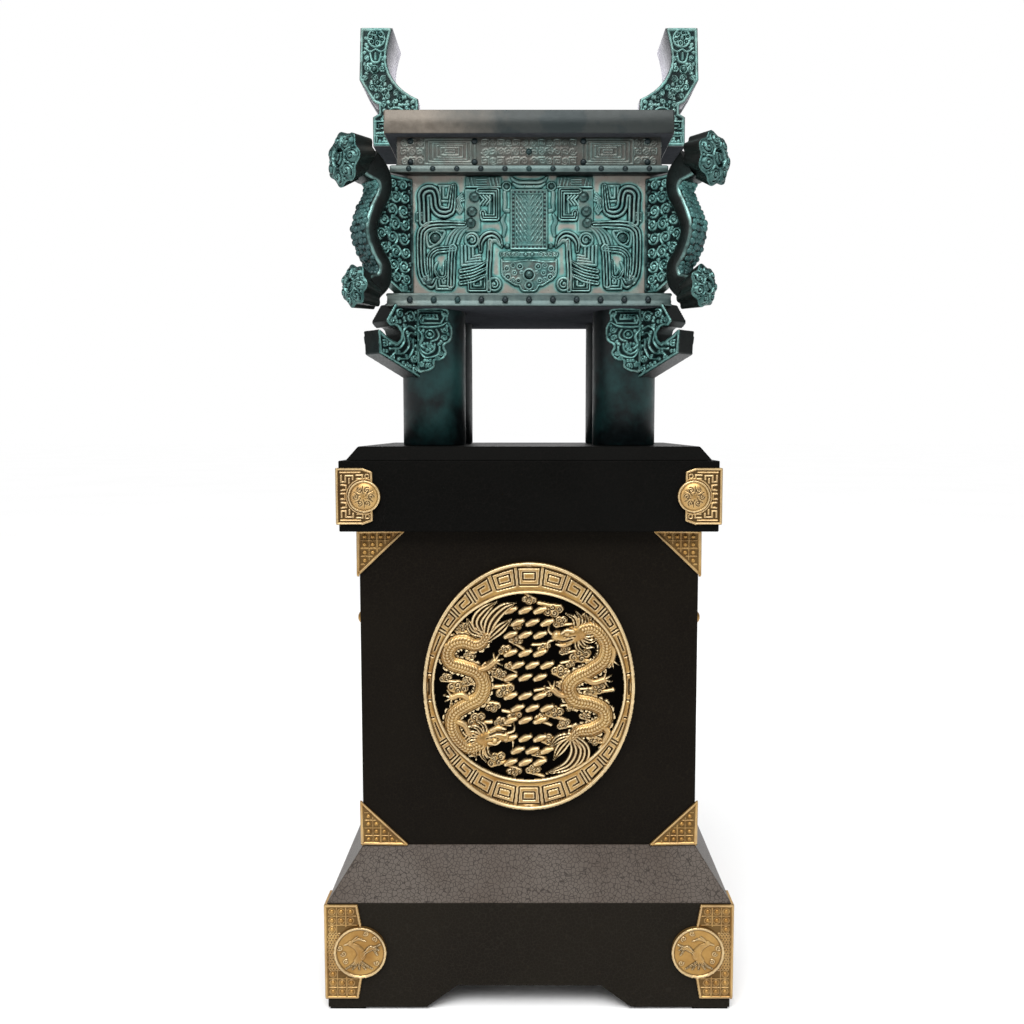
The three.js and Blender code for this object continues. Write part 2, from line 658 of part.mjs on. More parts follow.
function pedestalTier(name, half, low, high, topHalf) {
  add(name, tier(half, half - DEPTH_LESS, low, high, topHalf, topHalf - DEPTH_LESS), LACQUER);
}

add('pedestal_base', base(), LACQUER);
pedestalTier('pedestal_skirt', BASE_HALF, BASE_TOP, SKIRT_TOP, SHAFT_HALF);
pedestalTier('pedestal_shaft', SHAFT_HALF, SKIRT_TOP, SHAFT_TOP, SHAFT_HALF);
pedestalTier('pedestal_cap', CAP_HALF, SHAFT_TOP, CAP_TOP, CAP_HALF);
pedestalTier('pedestal_platform', PLATFORM_FOOT_HALF, CAP_TOP, PLATFORM_TOP, SHAFT_HALF);
for (const quarter of QUARTERS) {
  add(`foot_pad_${quarter.name}`, footPad(quarter), LACQUER);
  add(`base_corner_${quarter.name}`, baseCorner(quarter), GILT);
  add(`shaft_low_corner_${quarter.name}`, shaftCorner(quarter, SKIRT_TOP, 1), GILT);
  add(`shaft_top_corner_${quarter.name}`, shaftCorner(quarter, SHAFT_TOP, -1), GILT);
  add(`cap_corner_${quarter.name}`, capCorner(quarter), GILT);
}
add('front_medallion', medallion(), GILT);
add('side_knob_left', sideKnob(LEFT), GILT);
add('side_knob_right', sideKnob(RIGHT), GILT);
add('ding_vessel', fuse([
  bowl(),
  ...SIDES.map(ear),
  ...QUARTERS.map(flange),
  ...QUARTERS.map(leg),
]), BRONZE);

export default part;
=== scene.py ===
"""A bronze ding on a black lacquered pedestal with gilt brass fittings.

Sizes are millimetres until a mesh is made. The origin is on the floor under the middle, +Z is up and
the front faces -Y. Carved faces are height maps whose hollows and raised edges also drive the finishes,
with dark patina and painted shade in the hollows, and wear and painted highlights on the edges.
"""
import math

import bmesh
import bpy
import numpy as np
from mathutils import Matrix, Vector


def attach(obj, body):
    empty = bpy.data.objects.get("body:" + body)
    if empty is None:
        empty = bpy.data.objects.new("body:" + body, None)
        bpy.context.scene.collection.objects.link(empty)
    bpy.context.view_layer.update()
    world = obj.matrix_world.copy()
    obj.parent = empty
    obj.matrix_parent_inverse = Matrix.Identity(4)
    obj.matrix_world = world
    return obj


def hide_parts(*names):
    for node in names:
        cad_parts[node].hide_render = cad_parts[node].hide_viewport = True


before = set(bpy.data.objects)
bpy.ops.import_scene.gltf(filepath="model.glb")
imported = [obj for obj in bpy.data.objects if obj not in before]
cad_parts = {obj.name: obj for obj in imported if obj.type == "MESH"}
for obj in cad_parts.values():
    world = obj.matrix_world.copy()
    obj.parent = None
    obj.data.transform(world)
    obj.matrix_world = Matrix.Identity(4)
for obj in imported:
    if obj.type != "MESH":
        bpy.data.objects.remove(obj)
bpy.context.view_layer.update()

MM = 0.001
DEPTH_LESS = 60
BASE_HALF = 339
SHAFT_HALF = 285
CAP_HALF = 313
SKIRT_TOP = 265
SHAFT_TOP = 809
PLATFORM_TOP = 949
PLATE = 4
PLATE_GROUND = PLATE - 1.8

CAP_LEAF, CAP_LEAF_LOW, CAP_LEAF_HIGH = 56, 821, 914
CAP_BOSS_RADIUS, CAP_BOSS_INSET = 26.5, 42.5
SHAFT_LEAF, SHAFT_STUD, SHAFT_STUD_PITCH = 79, 3.9, 13.5
BASE_LEAF, BASE_LEAF_LOW, BASE_LEAF_HIGH = 52, 21, 185
BASE_DISC_RADIUS, BASE_DISC_INSET = 44, 56
BASE_STUD, BASE_STUD_PITCH = 4.2, 15.5
KNOB_HEIGHT, KNOB_REACH, KNOB_RADIUS = 619, 42, 13
MEDALLION_HEIGHT, MEDALLION_HALF_X, MEDALLION_HALF_Z, MEDALLION_OPENING = 543, 179, 213, 160
MEDALLION_GROUND, MEDALLION_BORDER, FRET_UNITS = 2.0, 8.0, 28
DRAGON_HALF, CLAW = 13.5, 15

BOWL_HALF_X, BOWL_HALF_Y, WALL = 205, 162, 13
BOX_ROUND, CORNER_STEPS = 3.0, 4
FOOT_LOW, FOOT_HIGH, FOOT_X, FOOT_Y, FOOT_GROOVE = 1183, 1205, 240, 192, 1.4
MOULD_LOW, MOULD_HIGH, MOULD_X, MOULD_Y = 1403, 1415, 232, 189
NECK_HIGH, NECK_X, NECK_Y, NECK_SHADE = 1464, 220, 177, 0.58
RIM_HIGH, RIM_X, RIM_Y = 1502, 240, 197
CAVITY_FLOOR = 1218
PANEL_LOW = 1208
PANEL_HIGH = MOULD_LOW - PANEL_LOW
STUD_PITCH = 40
FOOT_STUD, MOULD_STUD, NECK_STUD = 5.4, 4.8, 5.6
TABLET_BEAD, TABLET_BEAD_PITCH = 2.1, 6.7
LEG_RADIUS, LEG_X, LEG_Y, LEG_TOP = 55, 167.5, 108, 1188
BRACKET_THICK = 38
WEB_THICK = 16
RIBBON_WIDE, RIBBON_THICK, RIBBON_ROUND, SCALE_PITCH = 44, 27, 7.0, 8.4
DISC_NECK_WIDE, DISC_NECK_TALL, DISC_SWELL, DISC_LOBES = 0.6, 0.72, 8, 7
EAR_HALF_Y = 60
EAR_SOLE = [(277, 1479.2), (237.2, 1479.2), (237.2, 1496.2), (195, 1496.2), (195, 1499), (240, 1499),
            (240, 1482), (277, 1482)]
EAR_OPENING_HALF, EAR_OPENING_LOW, EAR_OPENING_HIGH = 26, 1516, 1592
EAR_CUT_NEAR, EAR_CUT_FAR = 180, 330

X, Y, Z = np.eye(3)
FRONT, BACK, LEFT, RIGHT = -Y, Y, -X, X
SIDES = (-1, 1)
BEND_STEPS = 6
SHARP_ANGLE, BEVEL_ANGLE = 70, 25
FINE_REACH, HALO_REACH, EDGE_LIP = 2.6, 9.0, 0.8
# The first share darkens hollows, undersides and walls as dark patina with painted shade; the third lightens
# edges as wear with painted highlights.
SHARES = ("dark_patina_and_shade", "green", "wear_and_highlight", "raised", "ground")
GILT_WALL = (0.2, 0)
SHADED = MOULDED = 0.9
BLACK_GROUND, DARK_BEADS = 0.97, 0.85
QUARTERS = [(sx, sy, f"{'front' if sy < 0 else 'back'}_{'left' if sx < 0 else 'right'}")
            for sy in SIDES for sx in SIDES]


# Paths and outlines

def curve(points, per=6, closed=False):
    """A smooth line through the points. A third number at a point scales the band's width there."""
    pts = np.array([(*p, 1.0)[:3] for p in points], float)
    if closed:
        ring = np.vstack([pts[[-1]], pts, pts[:2]])
    else:
        ring = np.vstack([2 * pts[:1] - pts[1:2], pts, 2 * pts[-1:] - pts[-2:-1]])
    t = np.linspace(0, 1, per, endpoint=False)[:, None]
    made = []
    for a, b, c, d in zip(ring, ring[1:], ring[2:], ring[3:]):
        made.append(0.5 * (2 * b + (c - a) * t + (2 * a - 5 * b + 4 * c - d) * t**2
                           + (3 * b - a - 3 * c + d) * t**3))
    return np.vstack([*made, ring[-2:-1]])


def polar(reach, turn):
    return reach * math.cos(turn), reach * math.sin(turn)


def circle(u, v, radius, steps=48, lobes=0, depth=0.0, squash=1.0):
    turn = np.arange(steps) / steps * 2 * math.pi
    reach = radius * (1 + depth * np.cos(lobes * turn))
    return np.stack([u + reach * np.cos(turn), v + squash * reach * np.sin(turn)], axis=1)


def spiral(u, v, radius, turns=1.6, start=0.0, hand=1):
    steps = max(10, int(turns * 14))
    share = np.linspace(0, 1, steps)
    turn = start + hand * share * turns * 2 * math.pi
    reach = radius * (1 - 0.86 * share)
    return np.stack([u + reach * np.cos(turn), v + reach * np.sin(turn)], axis=1)


def square_spiral(u, v, half_u, half_v, gap):
    points = []
    while half_u > gap * 0.4 and half_v > gap * 0.4:
        points += [(u - half_u, v - half_v), (u - half_u, v + half_v), (u + half_u, v + half_v),
                   (u + half_u, v - half_v + gap * 0.5)]
        half_u -= gap
        half_v -= gap
    return points


def inset(points, by):
    """A closed anticlockwise outline drawn in by an even distance."""
    pts = np.array(points, float)
    area = np.sum(pts[:, 0] * np.roll(pts[:, 1], -1) - np.roll(pts[:, 0], -1) * pts[:, 1])
    way = np.roll(pts, -1, 0) - pts
    way /= np.linalg.norm(way, axis=1)[:, None]
    left = np.stack([-way[:, 1], way[:, 0]], axis=1) * np.sign(area)
    both = left + np.roll(left, 1, 0)
    both /= np.maximum(0.6, np.sum(both * left, axis=1))[:, None]
    return pts + by * both


def blur(field, cells):
    reach = max(1, int(round(cells)))
    weights = np.hanning(2 * reach + 3)[1:-1]
    for axis in (0, 1):
        margin = [(0, 0), (0, 0)]
        margin[axis] = (reach, reach)
        wide = np.pad(field, margin, mode="edge")
        count = field.shape[axis]
        field = sum(w * np.take(wide, range(k, k + count), axis=axis) for k, w in enumerate(weights))
        field = field / weights.sum()
    return field


class Carving:
    """A height map over a flat patch: u across, v up, h out of the face."""

    def __init__(self, left, right, low, high, step, deep=0.0, floor=0.0, halo=1.0, shade=0.0, beads=0.0):
        self.u = np.linspace(left, right, int(round((right - left) / step)) + 1)
        self.v = np.linspace(low, high, int(round((high - low) / step)) + 1)
        self.step, self.deep, self.floor = step, deep, floor
        self.halo, self.shade, self.beads = halo, shade, beads
        self.U, self.V = np.meshgrid(self.u, self.v)
        self.h = np.full(self.U.shape, float(floor))
        self.dark = np.zeros_like(self.U)
        self.ground = np.zeros_like(self.U)

    def lift(self, inside, heights, dark=0.0):
        """Raises part of the patch to new heights where they stand above the old ones."""
        heights = self.floor + heights
        higher = heights > self.h[inside]
        self.h[inside] = np.where(higher, heights, self.h[inside])
        self.dark[inside] = np.where(higher, dark, self.dark[inside])

    def window(self, points, reach):
        low_u, low_v = points.min(0)[:2] - reach
        high_u, high_v = points.max(0)[:2] + reach
        return (slice(np.searchsorted(self.v, low_v), np.searchsorted(self.v, high_v) + 1),
                slice(np.searchsorted(self.u, low_u), np.searchsorted(self.u, high_u) + 1))

    def follow(self, path, reach):
        """How far each grid point is from a path, with the path's width there and the run along it."""
        near = np.full(self.h.shape, 1e9)
        wide = np.ones(self.h.shape)
        run = np.zeros(self.h.shape)
        gone = 0.0
        for a, b in zip(path, path[1:]):
            way = b[:2] - a[:2]
            length = math.hypot(*way)
            if length < 1e-6:
                continue
            at = self.window(np.array([a, b]), reach)
            du, dv = self.U[at] - a[0], self.V[at] - a[1]
            t = np.clip((du * way[0] + dv * way[1]) / length**2, 0, 1)
            off = np.hypot(du - t * way[0], dv - t * way[1])
            closer = off < near[at]
            near[at][closer] = off[closer]
            wide[at][closer] = (a[2] + t * (b[2] - a[2]))[closer]
            run[at][closer] = (gone + t * length)[closer]
            gone += length
        return near, wide, run

    def path(self, points, soft, closed=False):
        return curve(points, 6 if soft else 1, closed)

    def band(self, points, half, height, lines=1, soft=True, closed=False, rise=0.0):
        """A raised band. One line is a half round; more are ridges with grooves between them."""
        path = self.path(points, soft, closed)
        near, wide, _ = self.follow(path, half * max(1.0, path[:, 2].max()) + 1)
        x = near / (half * np.maximum(wide, 0.05))
        inside = x < 1
        x = x[inside]
        dark = 0.0
        if lines == 1:
            share = np.sqrt(1 - x**2)
        else:
            ridge = 0.5 - 0.5 * math.cos(math.pi * lines) * np.cos(math.pi * lines * x)
            share = np.clip((1 - x) * lines * 2.0, 0, 1) * (0.5 + 0.5 * ridge**0.7)
            dark = np.clip((0.6 - ridge) / 0.25, 0, 1) * (x < 0.97)
        self.lift(inside, rise + height * share, dark)

    def line(self, points, half, height):
        """A half-round band straight from point to point."""
        self.band(points, half, height, soft=False)

    def edging(self, outline, by, half, height):
        """A raised line just inside an outline."""
        self.band(inset(outline, by), half, height, soft=False, closed=True)

    def cut(self, points, half, depth, soft=True, closed=False):
        near, _, _ = self.follow(self.path(points, soft, closed), half + 1)
        inside = near < half
        share = 1 - (near[inside] / half) ** 2
        self.h[inside] -= depth * share
        self.dark[inside] = np.maximum(self.dark[inside], np.clip(share * 1.6, 0, 1))

    def within(self, points):
        inside = np.zeros(self.h.shape, bool)
        pts = np.array(points, float)
        for a, b in zip(pts, np.roll(pts, -1, 0)):
            if abs(b[1] - a[1]) < 1e-9:
                continue
            crosses = (a[1] > self.V) != (b[1] > self.V)
            inside ^= crosses & (self.U < (b[0] - a[0]) * (self.V - a[1]) / (b[1] - a[1]) + a[0])
        return inside

    def plate(self, points, height, slope=2.0):
        inside = self.within(points)
        pts = np.array([(*p, 1.0)[:3] for p in points], float)
        near, _, _ = self.follow(np.vstack([pts, pts[:1]]), slope + 1)
        self.lift(inside, height * np.clip(near[inside] / slope, 0, 1) ** 0.7)

    def boss(self, u, v, radius, height, rise=0.0):
        x = np.hypot(self.U - u, self.V - v) / radius
        inside = x < 1
        self.lift(inside, rise + height * np.sqrt(1 - x[inside] ** 2), self.beads)

    def ring(self, u, v, radius, half, height, rise=0.0):
        self.band(circle(u, v, radius, 28), half, height, soft=False, closed=True, rise=rise)

    def curl(self, u, v, radius, half, height, turns=1.6, start=0.0, hand=1):
        self.line(spiral(u, v, radius, turns, start, hand), half, height)

    def square(self, u, v, half_u, half_v, gap, half, height):
        self.line(square_spiral(u, v, half_u, half_v, gap), half, height)

    def fill(self, outline, radius, half, height):
        """Small curls wherever there is still open ground inside an outline."""
        inside = self.within(outline)
        for row, v in enumerate(np.arange(self.v[0], self.v[-1], radius * 1.9)):
            for u in np.arange(self.u[0] + (row % 2) * radius, self.u[-1], radius * 2.1):
                at = self.window(np.array([(u, v)]), radius * 0.8)
                if inside[at].all() and self.h[at].max(initial=0.0) < self.floor + 0.6:
                    self.curl(u, v, radius, half, height, 1.3, u + v, 1 - 2 * (row % 2))

    def cloud(self, u, v, size, height, turn=0.0):
        """A cloud head: plump lobes with a curl cut in each, over a trailing tail."""
        c, s = math.cos(turn), math.sin(turn)

        def at(a, b):
            return u + size * (a * c - b * s), v + size * (a * s + b * c)
        self.band([at(-0.7, -0.3), at(0.3, -0.4), at(1.3, -0.6)], size * 0.2, height * 0.8)
        for a, b, r in ((-0.62, -0.05, 0.4), (-0.16, 0.32, 0.46), (0.44, 0.2, 0.44), (0.02, -0.2, 0.4)):
            self.boss(*at(a, b), size * r, height)
            self.cut(spiral(*at(a, b), size * r * 0.72, 1.2, turn), size * 0.08, height * 0.35, soft=False)

    def mirrored(self):
        """The whole design, from a half that was drawn to the right of its centre line."""
        whole = Carving(-self.u[-1], self.u[-1], self.v[0], self.v[-1], self.step, self.deep, self.floor,
                        self.halo, self.shade)
        whole.u = np.concatenate([-self.u[:0:-1], self.u])
        whole.U, whole.V = np.meshgrid(whole.u, whole.v)
        for layer in ("h", "dark", "ground"):
            half = getattr(self, layer)
            setattr(whole, layer, np.concatenate([half[:, :0:-1], half], axis=1))
        return whole

    def marks(self):
        """The finish's shares at each grid point, read from the heights around it."""
        rise = self.h - self.floor
        fine = blur(rise, FINE_REACH / self.step)
        wide = blur(np.maximum(rise, 0), HALO_REACH / self.step)
        low = np.clip(1 - rise / 0.9, 0, 1)
        # Painted shadow at the foot of each raised motif.
        foot = np.clip(fine / 0.8, 0, 1) * low
        # Grooves turn dark as dark patina with painted shade, joined by the foot's painted shadow, the dark
        # layer, the black ground and the even shade.
        dark_patina_and_shade = np.clip((fine - rise) / 0.85, 0, 1)
        even = np.full_like(rise, self.shade)
        dark_patina_and_shade = np.maximum.reduce([dark_patina_and_shade, foot, self.dark, self.deep * low, even])
        green = np.clip(wide / 1.2, 0, 1) * self.halo
        # Ridge edges turn pale as wear with painted highlights.
        wear_and_highlight = np.clip((rise - fine) / 1.1, 0, 1) * np.clip(rise - 0.4, 0, 1) * (1 - 0.5 * self.deep)
        raised = np.clip((rise - 1.0) / 2.5, 0, 1) * (1 - 0.8 * self.deep)
        return np.stack([dark_patina_and_shade, green, wear_and_highlight, raised, self.ground], axis=-1)


# Meshes

class Face:
    """A flat frame in space: u along, v up, h out. It knows whether it turns faces inside out."""

    def __init__(self, origin, along, up, out):
        self.origin, self.along, self.up, self.out = (np.array(a, float) for a in (origin, along, up, out))
        self.flip = float(np.dot(np.cross(self.along, self.up), self.out)) < 0

    def __call__(self, u, v, h):
        return (self.origin + np.multiply.outer(np.asarray(u, float), self.along)
                + np.multiply.outer(np.asarray(v, float), self.up)
                + np.multiply.outer(np.asarray(h, float), self.out))


def facing(out, distance, height=0.0):
    out = np.array(out, float)
    return Face(out * distance + Z * height, np.cross(Z, out), Z, out)


class Piece:
    """Gathers parts of one piece, then makes its mesh."""

    def __init__(self):
        self.corners, self.faces, self.smooth, self.shares, self.count = [], [], [], [], 0

    def add(self, corners, faces, smooth, shares=(0, 0), flip=False):
        corners = np.asarray(corners, float)
        for face, soft in zip(faces, smooth):
            face = [int(i) + self.count for i in face]
            self.faces.append(face[::-1] if flip else face)
            self.smooth.append(soft)
        self.corners.append(corners)
        given = np.atleast_2d(np.asarray(shares, float))
        full = np.zeros((len(corners), len(SHARES)))
        full[:, :given.shape[1]] = given
        self.shares.append(full)
        self.count += len(corners)

    def build(self, name, finish, slot, *nodes):
        mesh = bpy.data.meshes.new(name)
        mesh.from_pydata((np.concatenate(self.corners) * MM).tolist(), [], self.faces)
        mesh.polygons.foreach_set("use_smooth", self.smooth)
        shares = np.concatenate(self.shares)
        for k, share in enumerate(SHARES):
            mesh.attributes.new(share, "FLOAT", "POINT").data.foreach_set("value", shares[:, k].copy())
        mesh.materials.append(finish)
        mesh.set_sharp_from_angle(angle=math.radians(SHARP_ANGLE))
        return finished(placed(name, mesh), slot, *nodes)


def placed(name, data):
    made = bpy.data.objects.new(name, data)
    bpy.context.scene.collection.objects.link(made)
    return made


def finished(piece, slot, *nodes):
    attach(piece, "root")
    if nodes:
        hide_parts(*nodes)
    return piece


def nearest_on(points, outline):
    """Each point moved to the closest place on a closed outline."""
    best = np.full(len(points), 1e9)
    moved = points.copy()
    for a, b in zip(outline, np.roll(outline, -1, 0)):
        way = b - a
        t = np.clip((points - a) @ way / max(way @ way, 1e-9), 0, 1)
        spot = a + t[:, None] * way
        off = np.linalg.norm(points - spot, axis=1)
        closer = off < best
        best[closer] = off[closer]
        moved[closer] = spot[closer]
    return moved


def carved(piece, relief, place, outline=None, back=-2.0, two_faced=False, wall=(0.6, 0.4)):
    """Lays a carving on a face as a closed sheet, cut to an outline, with walls and a flat back.

    A two-faced sheet carries the same carving on its back, mirrored through the face's plane.
    """
    u, v = relief.U.copy(), relief.V.copy()
    keep = np.ones((len(relief.v) - 1, len(relief.u) - 1), bool)
    if outline is not None:
        inside = relief.within(outline)
        keep = inside[:-1, :-1] & inside[1:, :-1] & inside[:-1, 1:] & inside[1:, 1:]
        for _ in range(4):
            a, b, c, d = keep[:-1, :-1], keep[:-1, 1:], keep[1:, :-1], keep[1:, 1:]
            rising, falling = a & d & ~b & ~c, b & c & ~a & ~d
            b |= rising
            a |= falling
    i, j = np.nonzero(keep)
    ends = [(i, j), (i, j + 1), (i + 1, j + 1), (i + 1, j)]
    used = np.zeros(u.shape, bool)
    for end in ends:
        used[end] = True
    index = np.full(u.shape, -1)
    index[used] = np.arange(used.sum())
    quads = np.stack([index[end] for end in ends], axis=1)
    padded = np.pad(keep, 1)
    beyond = (padded[:-2, 1:-1], padded[1:-1, 2:], padded[2:, 1:-1], padded[1:-1, :-2])
    rim = np.concatenate([quads[~beyond[k][i, j]][:, [k, (k + 1) % 4]] for k in range(4)])
    flat = np.stack([u[used], v[used]], axis=1)
    on_rim = np.unique(rim)
    if outline is not None:
        flat[on_rim] = nearest_on(flat[on_rim], np.array(outline, float)[:, :2])
    heights = relief.h[used]
    shares = relief.marks()[used]
    count, around = len(flat), len(on_rim)
    foot = {int(a): k for k, a in enumerate(on_rim)}
    edge_u, edge_v, edge_h = flat[on_rim, 0], flat[on_rim, 1], heights[on_rim]
    deep = np.full(around, back) - (edge_h if two_faced else 0)
    lip = np.minimum(EDGE_LIP, (edge_h - deep) / 3)
    layers = [place(flat[:, 0], flat[:, 1], heights), place(edge_u, edge_v, edge_h - lip),
              place(edge_u, edge_v, deep + lip)]
    # The walls take the given wall shares, which darken the sheet's sides as dark patina with painted shade.
    side = np.zeros((around, len(SHARES)))
    side[:, :2] = wall
    layer_shares = [shares, side, side]
    faces = quads.tolist()
    smooth = [True] * len(quads)
    under = count + 2 * around
    if two_faced:
        layers.append(place(flat[:, 0], flat[:, 1], back - heights))
        layer_shares.append(shares)
        faces += (quads[:, ::-1] + under).tolist()
        smooth += [True] * len(quads)
    else:
        layers.append(place(edge_u, edge_v, deep))
        layer_shares.append(side)
        after = dict(rim.tolist())
        while after:
            start, step = after.popitem()
            loop = [under + foot[start]]
            while step != start:
                loop.append(under + foot[step])
                step = after.pop(step)
            faces.append(loop[::-1])
            smooth.append(False)
    for a, b in rim.tolist():
        top, bottom = (a, b), (under + (a if two_faced else foot[a]), under + (b if two_faced else foot[b]))
        high, low = (count + foot[a], count + foot[b]), (count + around + foot[a], count + around + foot[b])
        for (c, d), (e, f) in ((top, high), (high, low), (low, bottom)):
            faces.append((c, e, f, d))
            smooth.append(True)
    piece.add(np.vstack(layers), faces, smooth, np.vstack(layer_shares), place.flip)


def loft(piece, rings, smooth=False, shares=(0, 0), flip=False):
    """Skins a row of rings of equal count, and closes both ends."""
    rings = np.asarray(rings, float)
    rows, count = rings.shape[:2]
    faces = []
    for k in range(rows - 1):
        for m in range(count):
            n = (m + 1) % count
            faces.append((k * count + m, k * count + n, (k + 1) * count + n, (k + 1) * count + m))
    soft = [smooth] * len(faces)
    faces += [tuple(range(count))[::-1], tuple(range((rows - 1) * count, rows * count))]
    piece.add(rings.reshape(-1, 3), faces, soft + [False, False], shares, flip)


def lathe(piece, profile, place, segments):
    """Turns a profile of (radius, rise) about a face's outward axis."""
    turn = np.arange(segments) / segments * 2 * math.pi
    rings = [place(r * np.cos(turn), r * np.sin(turn), np.full(segments, h)) for r, h in profile]
    loft(piece, rings, True, flip=place.flip)


def rounded_box_ring(half_x, half_y, z, radius=BOX_ROUND):
    points = []
    for cx, cy, start in ((1, 1, 0), (-1, 1, 90), (-1, -1, 180), (1, -1, 270)):
        for k in range(CORNER_STEPS + 1):
            turn = math.radians(start + 90 * k / CORNER_STEPS)
            points.append((cx * (half_x - radius) + radius * math.cos(turn),
                           cy * (half_y - radius) + radius * math.sin(turn), z))
    return points


def settle(piece):
    """Turns what the modifiers make into the piece's own plain mesh."""
    graph = bpy.context.evaluated_depsgraph_get()
    made = bpy.data.meshes.new_from_object(piece.evaluated_get(graph))
    piece.modifiers.clear()
    piece.data = made
    return piece


def prism(points, axis_along, axis_up, axis_out, low, high):
    """A straight-sided solid over an outline, in metres, as a loose object."""
    frame_of = Face((0, 0, 0), axis_along, axis_up, axis_out)
    part = Piece()
    pts = np.array(points, float)
    area = np.sum(pts[:, 0] * np.roll(pts[:, 1], -1) - np.roll(pts[:, 0], -1) * pts[:, 1])
    if area < 0:
        pts = pts[::-1]
    ends = [frame_of(pts[:, 0], pts[:, 1], np.full(len(pts), h)) for h in (low, high)]
    loft(part, ends, flip=frame_of.flip)
    mesh = bpy.data.meshes.new("solid")
    mesh.from_pydata((np.concatenate(part.corners) * MM).tolist(), [], part.faces)
    return placed("solid", mesh)


def take(piece, loose):
    """Moves a loose object's finished mesh into a piece."""
    settle(loose)
    mesh = loose.data
    corners = np.empty(len(mesh.vertices) * 3)
    mesh.vertices.foreach_get("co", corners)
    faces = [tuple(face.vertices) for face in mesh.polygons]
    piece.add(corners.reshape(-1, 3) / MM, faces, [False] * len(faces))
    bpy.data.objects.remove(loose)


def bevelled(loose, width, segments=2):
    bevel = loose.modifiers.new("edges", "BEVEL")
    bevel.width = width * MM
    bevel.segments = segments
    bevel.limit_method = "ANGLE"
    bevel.angle_limit = math.radians(BEVEL_ANGLE)
    return loose


# Finishes

def tone(red, green, blue):
    """An sRGB colour as the shader's linear one."""
    def linear(value):
        value /= 255
        return value / 12.92 if value <= 0.04045 else ((value + 0.055) / 1.055) ** 2.4
    return linear(red), linear(green), linear(blue), 1.0


def wire(tree, socket, value):
    """Links a socket from another one, or gives it a value."""
    if isinstance(value, bpy.types.NodeSocket):
        tree.links.new(value, socket)
    else:
        socket.default_value = value


def add_node(tree, kind, inputs, **settings):
    made = tree.nodes.new(kind)
    for name, value in settings.items():
        setattr(made, name, value)
    for key, value in inputs.items():
        wire(tree, made.inputs[key], value)
    return made


class Finish:
    """A material's node tree with short ways to add to it."""

    def __init__(self, name):
        self.material = bpy.data.materials.new(name)
        self.material.use_nodes = True
        self.tree = self.material.node_tree
        self.place = self.add("ShaderNodeTexCoord", {}).outputs["Object"]

    def add(self, kind, inputs, **settings):
        return add_node(self.tree, kind, inputs, **settings)

    def set(self, name, value):
        wire(self.tree, self.tree.nodes["Principled BSDF"].inputs[name], value)

    def share(self, name):
        return self.add("ShaderNodeAttribute", {}, attribute_name=name).outputs["Fac"]

    def noise(self, scale, detail=4.0, rough=0.55):
        inputs = {"Scale": scale, "Detail": detail, "Roughness": rough, "Vector": self.place}
        return self.add("ShaderNodeTexNoise", inputs).outputs["Fac"]

    def cracks(self, scale):
        inputs = {"Scale": scale, "Vector": self.place}
        return self.add("ShaderNodeTexVoronoi", inputs, feature="DISTANCE_TO_EDGE").outputs["Distance"]

    def mapped(self, value, low, high, to_low=0.0, to_high=1.0):
        inputs = {"Value": value, "From Min": low, "From Max": high, "To Min": to_low, "To Max": to_high}
        return self.add("ShaderNodeMapRange", inputs).outputs["Result"]

    def calc(self, operation, first, second):
        made = self.add("ShaderNodeMath", {0: first, 1: second}, operation=operation, use_clamp=True)
        return made.outputs[0]

    def mix(self, factor, first, second):
        return self.add("ShaderNodeMix", {0: factor, 6: first, 7: second}, data_type="RGBA").outputs[2]

    def bump(self, height, strength, distance):
        inputs = {"Strength": strength, "Distance": distance, "Height": height}
        self.set("Normal", self.add("ShaderNodeBump", inputs).outputs["Normal"])


def carved_bronze():
    """Brown-grey bronze, green in and around its carving, black in the grooves from dark patina and painted
    shade, and pale on the edges from wear and painted highlights.
    """
    f = Finish("carved_bronze")
    patches = f.noise(16.0, 5.0)
    grain = f.noise(320.0, 4.0)
    mottle = f.noise(55.0, 4.0)
    green = f.calc("ADD", f.share("green"), f.mapped(patches, 0.48, 0.72, 0.0, 0.4))
    metal = f.mix(mottle, tone(132, 124, 116), tone(166, 158, 148))
    verdigris = f.mix(f.mapped(mottle, 0.35, 0.65), tone(58, 130, 127), tone(128, 196, 188))
    colour = f.mix(f.calc("MULTIPLY", green, 0.92), metal, verdigris)
    top = f.mix(f.mapped(patches, 0.4, 0.62), tone(38, 64, 65), tone(96, 90, 83))
    darkened = f.calc("MULTIPLY", f.share("raised"), f.mapped(mottle, 0.35, 0.6, 0.5, 0.95))
    colour = f.mix(darkened, colour, top)
    # Grooves, ledge undersides and walls go near black: dark patina with painted shade.
    colour = f.mix(f.share("dark_patina_and_shade"), colour, tone(5, 14, 17))
    # Edges go pale: wear with painted highlights.
    rubbed_and_highlit = f.calc("MULTIPLY", f.share("wear_and_highlight"), f.mapped(mottle, 0.35, 0.6, 0.15, 0.8))
    colour = f.mix(rubbed_and_highlit, colour, tone(150, 200, 195))
    f.set("Base Color", colour)
    f.set("Roughness", f.mapped(grain, 0.3, 0.7, 0.26, 0.42))
    # Metallic rises with the painted shade, so the reflection darkens there too.
    f.set("Metallic", f.mapped(f.share("dark_patina_and_shade"), 0.0, 1.0, 0.35, 0.92))
    f.bump(grain, 0.1, 0.0005)
    return f.material


